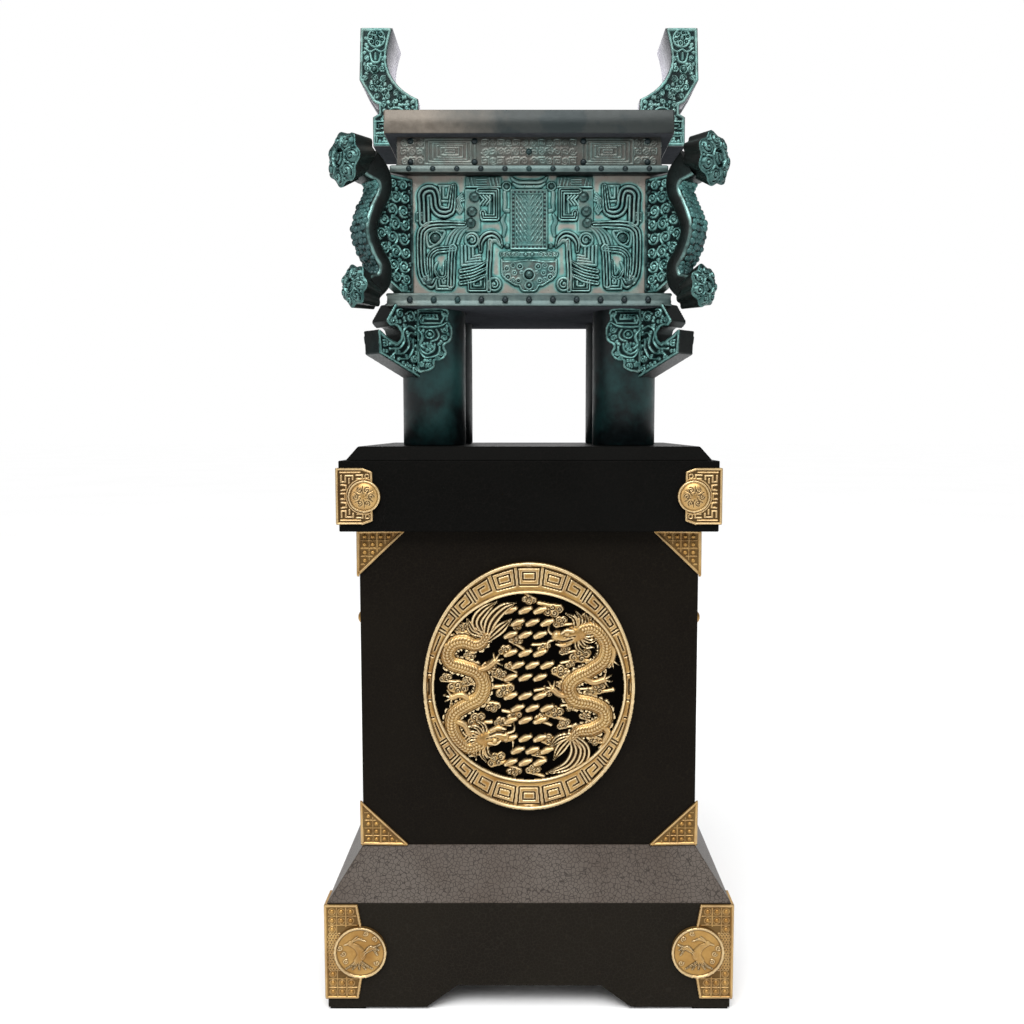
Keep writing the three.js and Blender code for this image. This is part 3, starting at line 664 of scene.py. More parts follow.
def plain_bronze(name, low, high, cloud, spread, shine=0.5, metal=0.4, drawn=0.0, sheen=0.0):
    """Smooth bronze with clouds of patina, a painted shade that may darken it from its left end to the right,
    green raised mouldings and painted shade under ledges.
    """
    f = Finish(name)
    drift = f.noise(9.0, 5.0, 0.6)
    speckle = f.noise(90.0, 5.0, 0.65)
    colour = f.mix(f.mapped(speckle, 0.3, 0.7), low, high)
    tint = f.calc("ADD", f.calc("MULTIPLY", f.mapped(drift, 0.48, 0.72), spread), f.share("green"))
    across = f.add("ShaderNodeSeparateXYZ", {0: f.place})
    # Painted shade: the cloud tint grows from the left end towards the middle and right.
    tint = f.calc("ADD", tint, f.mapped(across.outputs[0], -0.16, -0.03, 0.0, drawn))
    colour = f.mix(tint, colour, cloud)
    moulded = f.calc("MULTIPLY", f.share("raised"), f.mapped(drift, 0.35, 0.6, 0.65, 1.0))
    moulding = f.mix(f.mapped(speckle, 0.3, 0.7), tone(70, 92, 91), tone(100, 120, 117))
    colour = f.mix(moulded, colour, moulding)
    # Painted shade under ledges and in the cavity, from the first share.
    f.set("Base Color", f.mix(f.share("dark_patina_and_shade"), colour, tone(8, 9, 10)))
    f.set("Roughness", f.mapped(speckle, 0.3, 0.7, 0.34, 0.5))
    f.set("Metallic", metal)
    f.set("Specular IOR Level", shine)
    f.set("Sheen Weight", sheen)
    f.set("Sheen Roughness", 0.3)
    f.set("Sheen Tint", tone(240, 236, 250))
    f.bump(speckle, 0.08, 0.0008)
    return f.material


def black_lacquer(name, low, high, crack, shine=0.03):
    """Black lacquer with a fine crackle, a little browner where it has worn."""
    f = Finish(name)
    line = f.mapped(f.cracks(150.0), 0.0, 0.08)
    drift = f.noise(6.0, 4.0)
    colour = f.mix(f.mapped(drift, 0.35, 0.65), low, high)
    f.set("Base Color", f.mix(line, crack, colour))
    f.set("Roughness", f.mapped(drift, 0.3, 0.7, 0.33, 0.42))
    f.set("Specular IOR Level", shine)
    f.bump(line, 0.3, 0.0005)
    return f.material


def gilt_brass():
    """Antiqued gilt brass: bright on the edges from wear and painted highlights, brown in the hollows from
    antiquing and painted shade, black on the roundel's ground.
    """
    f = Finish("gilt_brass")
    grain = f.noise(180.0, 4.0)
    drift = f.noise(22.0, 4.0)
    colour = f.mix(f.mapped(drift, 0.35, 0.65), tone(142, 103, 50), tone(180, 143, 82))
    # Edges go pale: wear with painted highlights.
    colour = f.mix(f.calc("MULTIPLY", f.share("wear_and_highlight"), 0.75), colour, tone(244, 226, 184))
    # Hollows go brown: antiquing with painted shade.
    colour = f.mix(f.calc("MULTIPLY", f.share("dark_patina_and_shade"), 0.95), colour, tone(34, 22, 9))
    colour = f.mix(f.share("ground"), colour, tone(7, 6, 5))
    f.set("Base Color", colour)
    f.set("Metallic", f.mapped(f.share("ground"), 0.0, 1.0, 0.75, 1.0))
    f.set("Roughness", f.mapped(grain, 0.3, 0.7, 0.26, 0.42))
    f.bump(grain, 0.12, 0.0005)
    return f.material


BRONZE = carved_bronze()
# The rim takes a painted shade that darkens it from its left end to the right.
RIM_BRONZE = plain_bronze("rim_bronze", tone(94, 87, 78), tone(116, 108, 98), tone(30, 40, 41), 0.4,
                          drawn=0.92)
LEG_BRONZE = plain_bronze("leg_bronze", tone(6, 11, 13), tone(14, 24, 26), tone(34, 80, 79), 0.6,
                          shine=0.3)
STUD_BRONZE = plain_bronze("stud_bronze", tone(8, 18, 21), tone(22, 42, 45), tone(44, 96, 93), 0.4)
SCALE_BRONZE = plain_bronze("scale_bronze", tone(16, 36, 38), tone(56, 92, 92), tone(92, 156, 150), 0.6)
# A dark bronze without reflection, for the pieces laid under the bowl, the rim and the ears as painted
# shadow.
SHADOW_BRONZE = plain_bronze("painted_shadow_bronze", tone(56, 58, 62), tone(66, 68, 72), tone(50, 58, 60), 0.4,
                            shine=0.0, metal=0.0)
EAR_BRONZE = plain_bronze("ear_bronze", tone(76, 78, 80), tone(100, 102, 104), tone(50, 80, 80), 0.6,
                          sheen=0.8)
LACQUER = black_lacquer("black_lacquer", tone(17, 14, 11), tone(20, 17, 13), tone(24, 21, 16))
# A darker copy of the black lacquer for the cap and the platform, as painted shade.
SHADED_CAP_LACQUER = black_lacquer("cap_lacquer_painted_shade", tone(11, 11, 10), tone(14, 14, 13), tone(17, 16, 15), 0.01)
BASE_LACQUER = black_lacquer("base_lacquer", tone(26, 23, 19), tone(29, 26, 21), tone(34, 31, 26))
# The skirt's crackled lacquer, lightened to grey-brown as a painted reflection of the light from above.
LIT_CRACKLE = black_lacquer("crackled_lacquer_painted_reflection", tone(70, 61, 54), tone(84, 77, 71), tone(40, 35, 31), 0.08)
GILT = gilt_brass()
BRONZE_SLOT, LACQUER_SLOT, GILT_SLOT = "patinated_bronze", "black_lacquer", "gilt_brass"


# What repeats: studs on points, beads along a line

def tree_with(name, *inputs):
    tree = bpy.data.node_groups.new(name, "GeometryNodeTree")
    tree.interface.new_socket("Geometry", in_out="INPUT", socket_type="NodeSocketGeometry")
    for label, kind in inputs:
        tree.interface.new_socket(label, in_out="INPUT", socket_type=kind)
    tree.interface.new_socket("Geometry", in_out="OUTPUT", socket_type="NodeSocketGeometry")
    return tree, tree.nodes.new("NodeGroupInput").outputs, tree.nodes.new("NodeGroupOutput").inputs


def low_domes(tree, given, points, scale, result, turned):
    """Instances of a low dome on points, made real, smooth and finished."""
    dome = add_node(tree, "GeometryNodeMeshUVSphere", {"Segments": 12, "Rings": 7})
    shape = add_node(tree, "ShaderNodeCombineXYZ", {0: 1.0, 1: 1.0, 2: given["Rise"]})
    squat = add_node(tree, "GeometryNodeTransform",
                     {"Geometry": dome.outputs["Mesh"], "Scale": shape.outputs[0]})
    spread = add_node(tree, "GeometryNodeInstanceOnPoints",
                      {"Points": points, "Instance": squat.outputs[0], "Scale": scale, **turned})
    real = add_node(tree, "GeometryNodeRealizeInstances", {0: spread.outputs[0]})
    soft = add_node(tree, "GeometryNodeSetShadeSmooth", {"Geometry": real.outputs[0]})
    dressed = add_node(tree, "GeometryNodeSetMaterial",
                       {"Geometry": soft.outputs[0], "Material": given["Finish"]})
    tree.links.new(dressed.outputs[0], result["Geometry"])


def stud_tree():
    tree, given, result = tree_with("studs", ("Rise", "NodeSocketFloat"), ("Finish", "NodeSocketMaterial"))
    facing_of, size_of = (add_node(tree, "GeometryNodeInputNamedAttribute", {"Name": name}, data_type=kind)
                          for name, kind in (("facing", "FLOAT_VECTOR"), ("size", "FLOAT")))
    turn = add_node(tree, "FunctionNodeAlignRotationToVector",
                    {"Vector": facing_of.outputs["Attribute"]}, axis="Z")
    low_domes(tree, given, given["Geometry"], size_of.outputs["Attribute"], result,
              {"Rotation": turn.outputs["Rotation"]})
    return tree


def bead_tree():
    tree, given, result = tree_with("bead_row", ("Pitch", "NodeSocketFloat"), ("Radius", "NodeSocketFloat"),
                                    ("Rise", "NodeSocketFloat"), ("Finish", "NodeSocketMaterial"))
    line = add_node(tree, "GeometryNodeMeshToCurve", {"Mesh": given["Geometry"]})
    even = add_node(tree, "GeometryNodeResampleCurve", {"Curve": line.outputs[0], "Length": given["Pitch"]},
                    mode="LENGTH")
    low_domes(tree, given, even.outputs[0], given["Radius"], result, {})
    return tree


STUDS, BEADS = stud_tree(), bead_tree()


def grown(name, mesh, tree, slot, nodes, **inputs):
    piece = placed(name, mesh)
    made = piece.modifiers.new(tree.name, "NODES")
    made.node_group = tree
    for item in tree.interface.items_tree:
        if item.in_out == "INPUT" and item.name in inputs:
            made[item.identifier] = inputs[item.name]
    settle(piece)
    piece.data.name = name
    return finished(piece, slot, *nodes)


class StudRow:
    """Places for studs, each with its facing and radius."""

    def __init__(self):
        self.places, self.facings, self.sizes = [], [], []

    def add(self, place, u, v, radius, rise=0.0):
        self.places.append(place(u, v, rise) * MM)
        self.facings.append(place.out)
        self.sizes.append(radius * MM)

    def build(self, name, finish, slot, nodes, rise):
        mesh = bpy.data.meshes.new(name)
        mesh.from_pydata([tuple(p) for p in self.places], [], [])
        facings = mesh.attributes.new("facing", "FLOAT_VECTOR", "POINT")
        facings.data.foreach_set("vector", np.array(self.facings, float).ravel())
        mesh.attributes.new("size", "FLOAT", "POINT").data.foreach_set("value", np.array(self.sizes, float))
        return grown(name, mesh, STUDS, slot, nodes, Rise=rise, Finish=finish)


# The bowl

def cast(piece, name, finish):
    """Builds a piece of the bronze casting."""
    piece.build(name, finish, BRONZE_SLOT, "ding_vessel")


def bowl_shell():
    """The bowl from its cavity's floor over the rim and down its mouldings, with painted shade on its
    undersides and in its cavity, and dark pieces under its foot and rim as painted shadow.
    """
    rings, shares = [], []

    def ring(x, y, z, radius=BOX_ROUND, shade=0.0, raised=0.0):
        made = rounded_box_ring(x, y, z, radius)
        rings.append(made)
        shares.extend([(shade, 0, 0, raised)] * len(made))

    def moulding(x, y, high, low, ease, raised, grooves=()):
        ring(x - ease, y - ease, high, raised=raised)
        ring(x, y, high - ease, raised=raised)
        for inward, z in grooves:
            ring(x - inward, y - inward, z, raised=raised)
        ring(x, y, low + ease, raised=raised)
        ring(x - ease, y - ease, low, shade=SHADED)
    cavity_x, cavity_y = BOWL_HALF_X - WALL, BOWL_HALF_Y - WALL
    # The cavity's rings carry painted shade, deepest at its floor.
    for inward, z, radius, shade in ((14, CAVITY_FLOOR, 6, 0.7), (4, CAVITY_FLOOR + 4, 8, 0.7),
                                     (0, CAVITY_FLOOR + 14, 10, 0.7), (0, RIM_HIGH - 3, 10, 0.3),
                                     (-3, RIM_HIGH, 8, 0.0)):
        ring(cavity_x - inward, cavity_y - inward, z, radius, shade)
    moulding(RIM_X, RIM_Y, RIM_HIGH, NECK_HIGH, 1.2, 0.0)
    ring(NECK_X, NECK_Y, NECK_HIGH, shade=SHADED)
    ring(NECK_X, NECK_Y, MOULD_HIGH, raised=MOULDED)
    moulding(MOULD_X, MOULD_Y, MOULD_HIGH, MOULD_LOW, 1.5, MOULDED)
    ring(BOWL_HALF_X, BOWL_HALF_Y, MOULD_LOW, shade=SHADED)
    ring(BOWL_HALF_X, BOWL_HALF_Y, FOOT_HIGH, raised=MOULDED)
    stud_band = ((0, FOOT_HIGH - 4), (FOOT_GROOVE, FOOT_HIGH - 4.6), (FOOT_GROOVE, FOOT_LOW + 4.6),
                 (0, FOOT_LOW + 4))
    moulding(FOOT_X, FOOT_Y, FOOT_HIGH, FOOT_LOW, 1.5, MOULDED, stud_band)
    shell = Piece()
    loft(shell, rings, shares=shares, flip=True)
    cast(shell, "bowl_shell", RIM_BRONZE)
    # A dark slab under the foot, as painted shadow.
    under = Piece()
    loft(under, [rounded_box_ring(FOOT_X - inward, FOOT_Y - inward, FOOT_LOW + rise)
                 for inward, rise in ((5, -0.8), (4, 0), (4, 2))])
    cast(under, "bowl_underside_painted_shadow", SHADOW_BRONZE)
    # Dark bars under the rim's overhang, as painted shadow.
    lip_x, lip_y = RIM_X - 1.5, RIM_Y - 1.5
    lip = Piece()
    for side in SIDES:
        for a, b in (((NECK_X, -lip_y), (lip_x, lip_y)), ((-NECK_X, NECK_Y), (NECK_X, lip_y))):
            outline = [(side * a[0], a[1] * side), (side * b[0], a[1] * side), (side * b[0], b[1] * side),
                       (side * a[0], b[1] * side)]
            take(lip, prism(outline, X, Y, Z, NECK_HIGH - 0.8, NECK_HIGH + 1))
    cast(lip, "rim_underside_painted_shadow", SHADOW_BRONZE)


def monster_half(c, shift):
    """The right half of the monster face, drawn from its centre line, moved in by a shift."""
    def at(points):
        return [(p[0] - shift, *p[1:]) for p in points]

    def band(points, half, lines, height=6.0, soft=True):
        c.band(at(points), half, height, lines, soft)

    def block(left, right, low, high, height):
        c.plate(at([(left, low), (right, low), (right, high), (left, high)]), height)
    horn = [(177, 119), (177.5, 150), (178, 163, 1.05), (172, 169, 1.1), (163, 169, 1.05), (159, 161),
            (157, 145), (152, 137.5), (144, 135), (137, 136, 0.9), (131, 142, 0.7), (127, 178, 0.45)]
    band(horn, 11.0, 3, 6.5)
    band([(150, 178), (150, 154), (134, 153), (128.5, 178)], 2.4, 1, 4, False)
    band([(145, 178), (144.5, 159.5), (138, 159), (134, 178)], 2.2, 1, 4, False)
    band([(128, 179), (152, 179)], 2.2, 1, 4, False)
    c.square(183 - shift, 126, 6.5, 8, 4.2, 1.6, 5)
    band([(109, 114, 0.7), (140, 114.5, 0.9), (165, 113), (177, 107), (182.5, 96), (183, 60), (181, 34),
          (175, 21)], 8.5, 3, 6.5)
    band([(176, 24), (166, 13), (158, 24, 0.5)], 7, 2, 6)
    c.boss(171 - shift, 19, 8, 8)
    almond = [(172, 104), (148, 104.5), (143, 101), (150, 88), (160, 80), (171, 79)]
    c.line(curve(at(almond), 4, True)[:, :2], 2.6, 4.5)
    c.ring(158.6 - shift, 92, 10.5, 1.5, 4)
    c.boss(158.6 - shift, 92, 7.6, 9)
    for u, v in ((141, 81), (135, 81.5), (128, 82), (121, 83)):
        band([(u, v), (u - 6, v + 15), (u - 17, v + 26), (u - 22, v + 27)], 2.7, 1, 5)
    band([(166, 20, 0.7), (168, 45), (167, 62), (157, 71.5), (143, 73.5), (126, 75, 0.8)], 6.5, 3)
    band([(129, 76), (131, 60), (132, 36), (133, 14)], 7.5, 3, 6)
    band([(159, 33, 0.7), (160.5, 42), (156, 52, 0.6)], 3.0, 1, 5)
    band([(159, 36), (153, 26.5), (144, 26), (140, 33), (140, 54, 0.8)], 3.4, 2, 5)
    band([(151, 39), (147, 32), (145, 46)], 2.0, 1, 4)
    for k in range(3):
        d = 5.2 * k
        band([(158 - d, 21.5), (157 - d, 7 + d * 0.9), (133 + d, 7 + d * 0.9), (132 + d, 21.5)],
             2.3, 1, 5, False)
    block(82, 109, 102, 174, 3.2)
    for u, v in ((92, 160), (96.6, 136), (99, 117)):
        c.boss(u - shift, v, 8.4, 6.5, 3)
    block(47, 107, 176, 194, 3.5)
    for u in (100, 94, 64, 58, 52):
        band([(u, 179), (u + 3, 192)], 1.6, 1, 5.2, False)
    for v in (181, 185, 189):
        band([(72, v), (88, v)], 1.3, 1, 5.2, False)
    band([(106, 177), (48, 177)], 1.5, 1, 5.5, False)
    for k in range(4):
        d = 3.6 * k
        band([(113 - d * 0.3, 166 - d), (123 - d * 0.6, 155 - d * 0.3), (124 - d, 143),
              (117 - d * 0.4, 133 + d * 0.5)], 1.7, 1, 4)
    band([(84, 170), (55, 170), (55, 126), (77, 126), (78, 134)], 6.2, 3, 6, False)
    band([(66, 163), (67, 134)], 2.0, 1, 4, False)
    for k in range(3):
        d = 5.6 * k
        band([(83 - d, 163), (76 - d, 156), (83 - d, 148)], 1.9, 1, 5, False)
    c.ring(96.6 - shift, 89, 11, 2.6, 6)
    c.curl(96.6 - shift, 89, 8, 2.0, 6, 1.2, 0.4)
    c.boss(96.6 - shift, 89, 4.4, 8)
    for k in range(4):
        d = 6.2 * k
        band([(114 - d, 79), (113.5 - d, 47 + d * 0.75), (83, 50 + d * 0.75)], 2.7, 1, 5.5, False)
    for k, v in enumerate((44, 34, 24)):
        band([(116, v - 7, 1.0), (96, v - 3, 1.15), (84, v + 2), (72, v + 9 - k, 0.6)], 4.3, 2, 6)
    band([(101, 20), (101, 6), (74, 6), (73, 30, 0.7)], 4.0, 2, 5.5, False)
    band([(94, 20), (93, 13), (83, 13), (82, 20)], 2.2, 1, 4.5)
    band([(82, 70, 0.5), (82, 84, 0.8), (75, 95), (62, 99), (51, 92, 0.8), (46, 78, 0.35)], 6.5, 2, 7)
    band([(67, 74), (64, 86), (56, 88), (49, 80, 0.5)], 3.6, 1, 6)
    band([(66, 88, 0.9), (67.5, 60), (69, 34), (68, 4)], 5.2, 2, 6)
    c.ring(59 - shift, 15, 10.5, 2.4, 5.5)
    c.curl(59 - shift, 15, 7, 1.9, 5.5, 1.2, 2.0)
    c.boss(59 - shift, 15, 3.6, 7)


def tablet_half(c):
    """The framed tablet, the bar below it and the cloud plate, to the right of the centre line."""
    c.plate([(-2, 73), (31.5, 73), (31.5, 173), (-2, 173)], 3.0)
    c.line([(0, 171.8), (30, 171.8), (30, 74.4), (0, 74.4)], 1.5, 4.5)
    c.line([(0, 165.5), (23, 165.5), (23, 80.5), (0, 80.5)], 1.5, 5)
    for v in np.arange(90, 162, 10):
        for u in (5, 12.5, 19):
            c.line([(u - 2, v - 3, 0.8), (u + 2, v + 3)], 1.7, 5.4)
    c.band([(0, 184), (14, 184), (24, 187), (30, 193, 0.4)], 3.6, 6.5)
    c.band([(0, 177.5), (18, 178), (27, 183, 0.5)], 3.0, 5.5)
    c.boss(8, 178, 2.6, 7)
    c.ring(37.7, 178, 6.6, 1.5, 4)
    c.boss(37.7, 178, 5, 8)
    c.band([(41, 168), (40.5, 150), (41, 140), (35, 138)], 3.4, 4.5)
    c.band([(41, 131, 0.6), (45, 121), (41, 110), (43, 97, 0.7)], 3.6, 4.5)
    c.boss(37, 79, 4.2, 6)
    c.plate([(-2, 59.5), (48, 59.5), (48, 70.5), (-2, 70.5)], 3.2)
    for u, hand in ((20, 1), (29, -1), (37, 1), (44.5, -1)):
        c.curl(u, 65, 4.2, 1.2, 5.5, 1.3, 1.0, hand)
    c.boss(5.5, 65, 3.6, 7)
    edge = [(0, 55), (46, 56), (46, 42), (44.5, 30), (34, 21), (23, 14), (16, 13), (11, 5), (0, 3.5)]
    c.plate([(-2, 56), *edge[1:], (-2, 3.5)], 3.5)
    c.band(edge[1:], 1.7, 5.5)
    c.band([(2, 55), (14, 54), (28, 52), (44, 53)], 1.8, 5.5)
    c.boss(0, 31, 6.6, 7, 3)
    c.ring(0, 31, 9.4, 1.6, 2, 3.4)
    c.ring(0, 13, 6.6, 1.6, 2, 3.4)
    c.boss(0, 13, 3.4, 4, 3)
    for u, v, r in ((15.5, 44.5, 4.6), (27, 46.5, 3.8), (37.7, 41, 4.2), (25, 34, 3.6), (36, 27, 4.8),
                    (18, 21, 3.8), (27, 23, 3.0), (13, 35, 2.4), (43, 34, 2.6)):
        c.ring(u, v, r, 1.2, 1.6, 3.4)
        c.boss(u, v, r * 0.5, 3.4, 3)


def bowl_panels():
    half = Carving(0, BOWL_HALF_X, -3, PANEL_HIGH, 1.1, floor=1.0, beads=DARK_BEADS)
    monster_half(half, 0)
    tablet_half(half)
    long_face = half.mirrored()
    half = Carving(0, BOWL_HALF_Y, -3, PANEL_HIGH, 1.5, floor=1.0, beads=DARK_BEADS)
    monster_half(half, 43)
    half.band([(0, 10), (0, 184)], 9, 8, 3, False)
    short_face = half.mirrored()
    for name, out, distance, face in (("front", FRONT, BOWL_HALF_Y, long_face),
                                      ("back", BACK, BOWL_HALF_Y, long_face),
                                      ("left", LEFT, BOWL_HALF_X, short_face),
                                      ("right", RIGHT, BOWL_HALF_X, short_face)):
        panel = Piece()
        carved(panel, face, facing(out, distance, PANEL_LOW))
        cast(panel, f"monster_panel_{name}", BRONZE)


def neck_frieze():
    frieze = Piece()
    high = NECK_HIGH - MOULD_HIGH
    for reach, distance, outs in ((NECK_X, NECK_Y, (FRONT, BACK)), (NECK_Y, NECK_X, (LEFT, RIGHT))):
        half = Carving(0, reach, 0.3, high - 0.3, 1.35, deep=0.7, floor=0.8, halo=0.35, shade=NECK_SHADE)
        centre = reach * 0.6
        for k in range(6):
            d = k * 3.6
            left, right = centre - 42 + d * 1.9, centre + 42 - d * 1.9
            bottom, top = 4 + d, high - 4 - d
            half.line([(left, bottom), (left, top), (right, top), (right, bottom), (left, bottom)], 1.1, 1.0)
        spots = [*np.arange(8, centre - 46, 13.0), *np.arange(centre + 50, reach - 5, 13.0)]
        for k, u in enumerate(spots):
            for row, v in enumerate((9, 24, 39)):
                if (k + row) % 2:
                    half.square(u, v, 5.2, 5.6, 3.2, 1.0, 1.0)
                else:
                    half.curl(u, v, 6.4, 1.0, 1.0, 1.7, k + row, 1 - 2 * (row % 2))
        whole = half.mirrored()
        # Painted shade over the frieze, deepening from left to right on each face.
        whole.dark = NECK_SHADE + 0.17 * np.clip((whole.U + 40) / 60, 0, 1)
        for out in outs:
            carved(frieze, whole, facing(out, distance, MOULD_HIGH))
    cast(frieze, "neck_frieze", BRONZE)


def bowl_studs():
    studs = StudRow()
    for out in (FRONT, BACK, LEFT, RIGHT):
        along = abs(out[1]) > 0.5
        count = 5 if along else 4
        foot = facing(out, (FOOT_Y if along else FOOT_X) - FOOT_GROOVE, (FOOT_LOW + FOOT_HIGH) / 2)
        mould = facing(out, MOULD_Y if along else MOULD_X, (MOULD_LOW + MOULD_HIGH) / 2)
        neck = facing(out, NECK_Y if along else NECK_X, (MOULD_HIGH + NECK_HIGH) / 2)
        for k in range(-count, count + 1):
            studs.add(foot, k * STUD_PITCH, 0, FOOT_STUD)
            studs.add(mould, k * STUD_PITCH, 0, MOULD_STUD)
        for u in ((-198, -91, 91, 198) if along else (-158, -73, 73, 158)):
            for v in (-17, 17):
                studs.add(neck, u, v, NECK_STUD)
        studs.add(neck, 0, 0, NECK_STUD)
    studs.build("bowl_studs", STUD_BRONZE, BRONZE_SLOT, ["ding_vessel"], 0.85)
    for name, out in (("front", FRONT), ("back", BACK)):
        face = facing(out, BOWL_HALF_Y, PANEL_LOW)
        corners = [(-26.5, 77.5), (26.5, 77.5), (26.5, 168.5), (-26.5, 168.5)]
        mesh = bpy.data.meshes.new(f"tablet_beads_{name}")
        edges = [(0, 1), (1, 2), (2, 3), (3, 0)]
        mesh.from_pydata([tuple(face(u, v, 3.4) * MM) for u, v in corners], edges, [])
        grown(f"tablet_beads_{name}", mesh, BEADS, BRONZE_SLOT, ["ding_vessel"],
              Pitch=TABLET_BEAD_PITCH * MM, Radius=TABLET_BEAD * MM, Rise=1.0, Finish=STUD_BRONZE)


# Ears

def quad(start, bend, end):
    """Points after the start of a bend drawn to its end."""
    t = np.linspace(0, 1, BEND_STEPS + 1)[1:, None]
    a, b, c = (np.array(p, float) for p in (start, bend, end))
    return [tuple(p) for p in (1 - t) ** 2 * a + 2 * t * (1 - t) * b + t**2 * c]


def ear_outline():
    points = [(298, 1684), (241, 1684)]
    points += quad(points[-1], (256, 1640), (250, 1617))
    points += quad(points[-1], (240, 1580), (197, 1562))
    return points + [(194, 1497), (238, 1497), (238, 1480), (278, 1480), (278, 1531), (268, 1536),
                     (268, 1552), (277, 1556), (301, 1595)]


def ear_carving():
    c = Carving(190, 304, 1478, 1686, 1.2, deep=0.96, floor=0.8, halo=0.75, shade=0.3, beads=DARK_BEADS)
    edge = ear_outline()
    c.edging(edge, 3.4, 2.2, 2.6)
    flower_u, flower_v = 270, 1666
    c.ring(flower_u, flower_v, 15, 1.6, 3.2)
    for k in range(6):
        turn = k * math.pi / 3 + 0.3
        petal = flower_u + 11 * math.cos(turn), flower_v + 9 * math.sin(turn)
        c.ring(*petal, 4.0, 1.2, 3.2)
        c.boss(*petal, 1.8, 4)
    c.boss(flower_u, flower_v, 4.6, 5.5)
    c.band([(253, 1648), (262, 1643), (271, 1647), (280, 1643), (291, 1649)], 1.6, 3.2)
    c.band([(262, 1640), (266, 1626), (277, 1626), (281, 1640)], 2.0, 3.4)
    c.band([(272, 1640), (272, 1630)], 1.8, 3.6)
    curls = [(258, 1632, 5, 1), (288, 1632, 5, -1), (260, 1614, 6, 1), (287, 1614, 6, -1), (273, 1598, 6, 1),
             (290, 1598, 5, 1), (258, 1596, 6, -1), (278, 1582, 6, -1), (263, 1580, 6, 1), (247, 1582, 5, -1),
             (270, 1566, 5, 1), (252, 1566, 6, 1), (236, 1572, 5, -1), (238, 1558, 5, 1), (222, 1564, 4, -1),
             (258, 1552, 5, -1), (206, 1556, 4, 1)]
    for u, v, r, hand in curls:
        c.curl(u, v, r, 1.3, 3.2, 1.5, u * 0.3, hand)
    for u, v, r in ((274, 1613, 4.6), (268, 1590, 4.0), (255, 1574, 4.0), (229, 1563, 3.6),
                    (245, 1551, 3.4)):
        c.ring(u, v, r + 1.8, 1.0, 2.6)
        c.boss(u, v, r, 5.5)
    c.ring(236, 1530, 17, 1.8, 3.2)
    c.ring(236, 1530, 11, 1.4, 3.2)
    c.boss(236, 1530, 6, 5.5)
    for u, v, r in ((214, 1540, 7), (210, 1518, 7), (256, 1530, 4), (222, 1508, 5), (246, 1508, 5)):
        c.curl(u, v, r, 1.4, 3.2, 1.6, v * 0.3)
    c.square(260, 1515, 12, 8, 5, 1.3, 3.0)
    c.square(258, 1491, 13, 7, 5, 1.3, 3.0)
    c.fill(edge, 2.6, 1.1, 2.2)
    return c, inset(edge, 0.8)


def ears():
    carving, edge = ear_carving()
    arch = [(-EAR_OPENING_HALF, EAR_OPENING_LOW), (EAR_OPENING_HALF, EAR_OPENING_LOW)]
    arch_steps = 12
    for k in range(arch_steps + 1):
        turn = math.pi * k / arch_steps
        arch.append((EAR_OPENING_HALF * math.cos(turn),
                     EAR_OPENING_HIGH - EAR_OPENING_HALF + EAR_OPENING_HALF * math.sin(turn)))
    for side, name in ((-1, "left"), (1, "right")):
        body = prism([(side * u, v) for u, v in ear_outline()], X, Z, FRONT, -EAR_HALF_Y, EAR_HALF_Y)
        opening = prism(arch, Y, Z, X, *sorted((side * EAR_CUT_NEAR, side * EAR_CUT_FAR)))
        cutter = body.modifiers.new("opening", "BOOLEAN")
        cutter.operation = "DIFFERENCE"
        cutter.solver = "EXACT"
        cutter.object = opening
        settle(body)
        bpy.data.objects.remove(opening)
        block = Piece()
        take(block, bevelled(body, 1.6))
        cast(block, f"ear_{name}", EAR_BRONZE)
        # A dark block at the ear's sole, as painted shadow.
        under = Piece()
        sole = [(side * u, v) for u, v in EAR_SOLE]
        take(under, prism(sole, X, Z, FRONT, 2 - EAR_HALF_Y, EAR_HALF_Y - 2))
        cast(under, f"ear_underside_painted_shadow_{name}", SHADOW_BRONZE)
        faces = Piece()
        for out in (FRONT, BACK):
            carved(faces, carving, Face(out * EAR_HALF_Y, X * side, Z, out), edge, back=-1.5)
        cast(faces, f"ear_carving_{name}", BRONZE)


# Corner flanges

def web_carving():
    c = Carving(-4, 94, 1206, 1399, 1.3, deep=BLACK_GROUND, shade=0.45, beads=0.7)
    edge = [(-4, 1207), (22, 1207), (70, 1236)]
    edge += quad(edge[-1], (112, 1305), (66, 1380))
    edge += [(52, 1398), (-4, 1398)]
    c.edging(edge, 2.6, 2.0, 2.6)
    places = [(17, 1384, 8, 1), (38, 1385, 7, -1), (12, 1364, 9, -1), (33, 1364, 10, 1), (53, 1368, 7, -1),
              (16, 1342, 10, 1), (40, 1342, 10, -1), (62, 1348, 8, 1), (12, 1320, 9, -1), (34, 1319, 10, 1),
              (56, 1324, 10, -1), (77, 1322, 7, 1), (16, 1297, 10, 1), (40, 1296, 10, -1), (62, 1300, 9, 1),
              (80, 1300, 6, -1), (12, 1274, 9, -1), (33, 1273, 10, 1), (55, 1276, 9, -1), (74, 1278, 7, 1),
              (16, 1251, 10, 1), (38, 1251, 9, -1), (58, 1254, 8, 1), (12, 1230, 8, -1), (32, 1231, 8, 1),
              (50, 1236, 6, -1), (16, 1215, 5, 1)]
    for k, (u, v, r, hand) in enumerate(places):
        c.curl(u, v, r * 1.1, 1.5, 3.2, 1.7, 0.8 * k, hand)
        c.boss(u, v, r * 0.26, 5.0)
        if k % 3 == 0:
            c.boss(u + r, v + r * 0.4, 3.4, 5.5)
    c.fill(edge, 3.2, 1.2, 2.4)
    # Painted shadow: a dark strip where the web meets the bowl.
    beside_bowl = c.U < 6
    c.dark[beside_bowl] = 0.96
    return c, edge


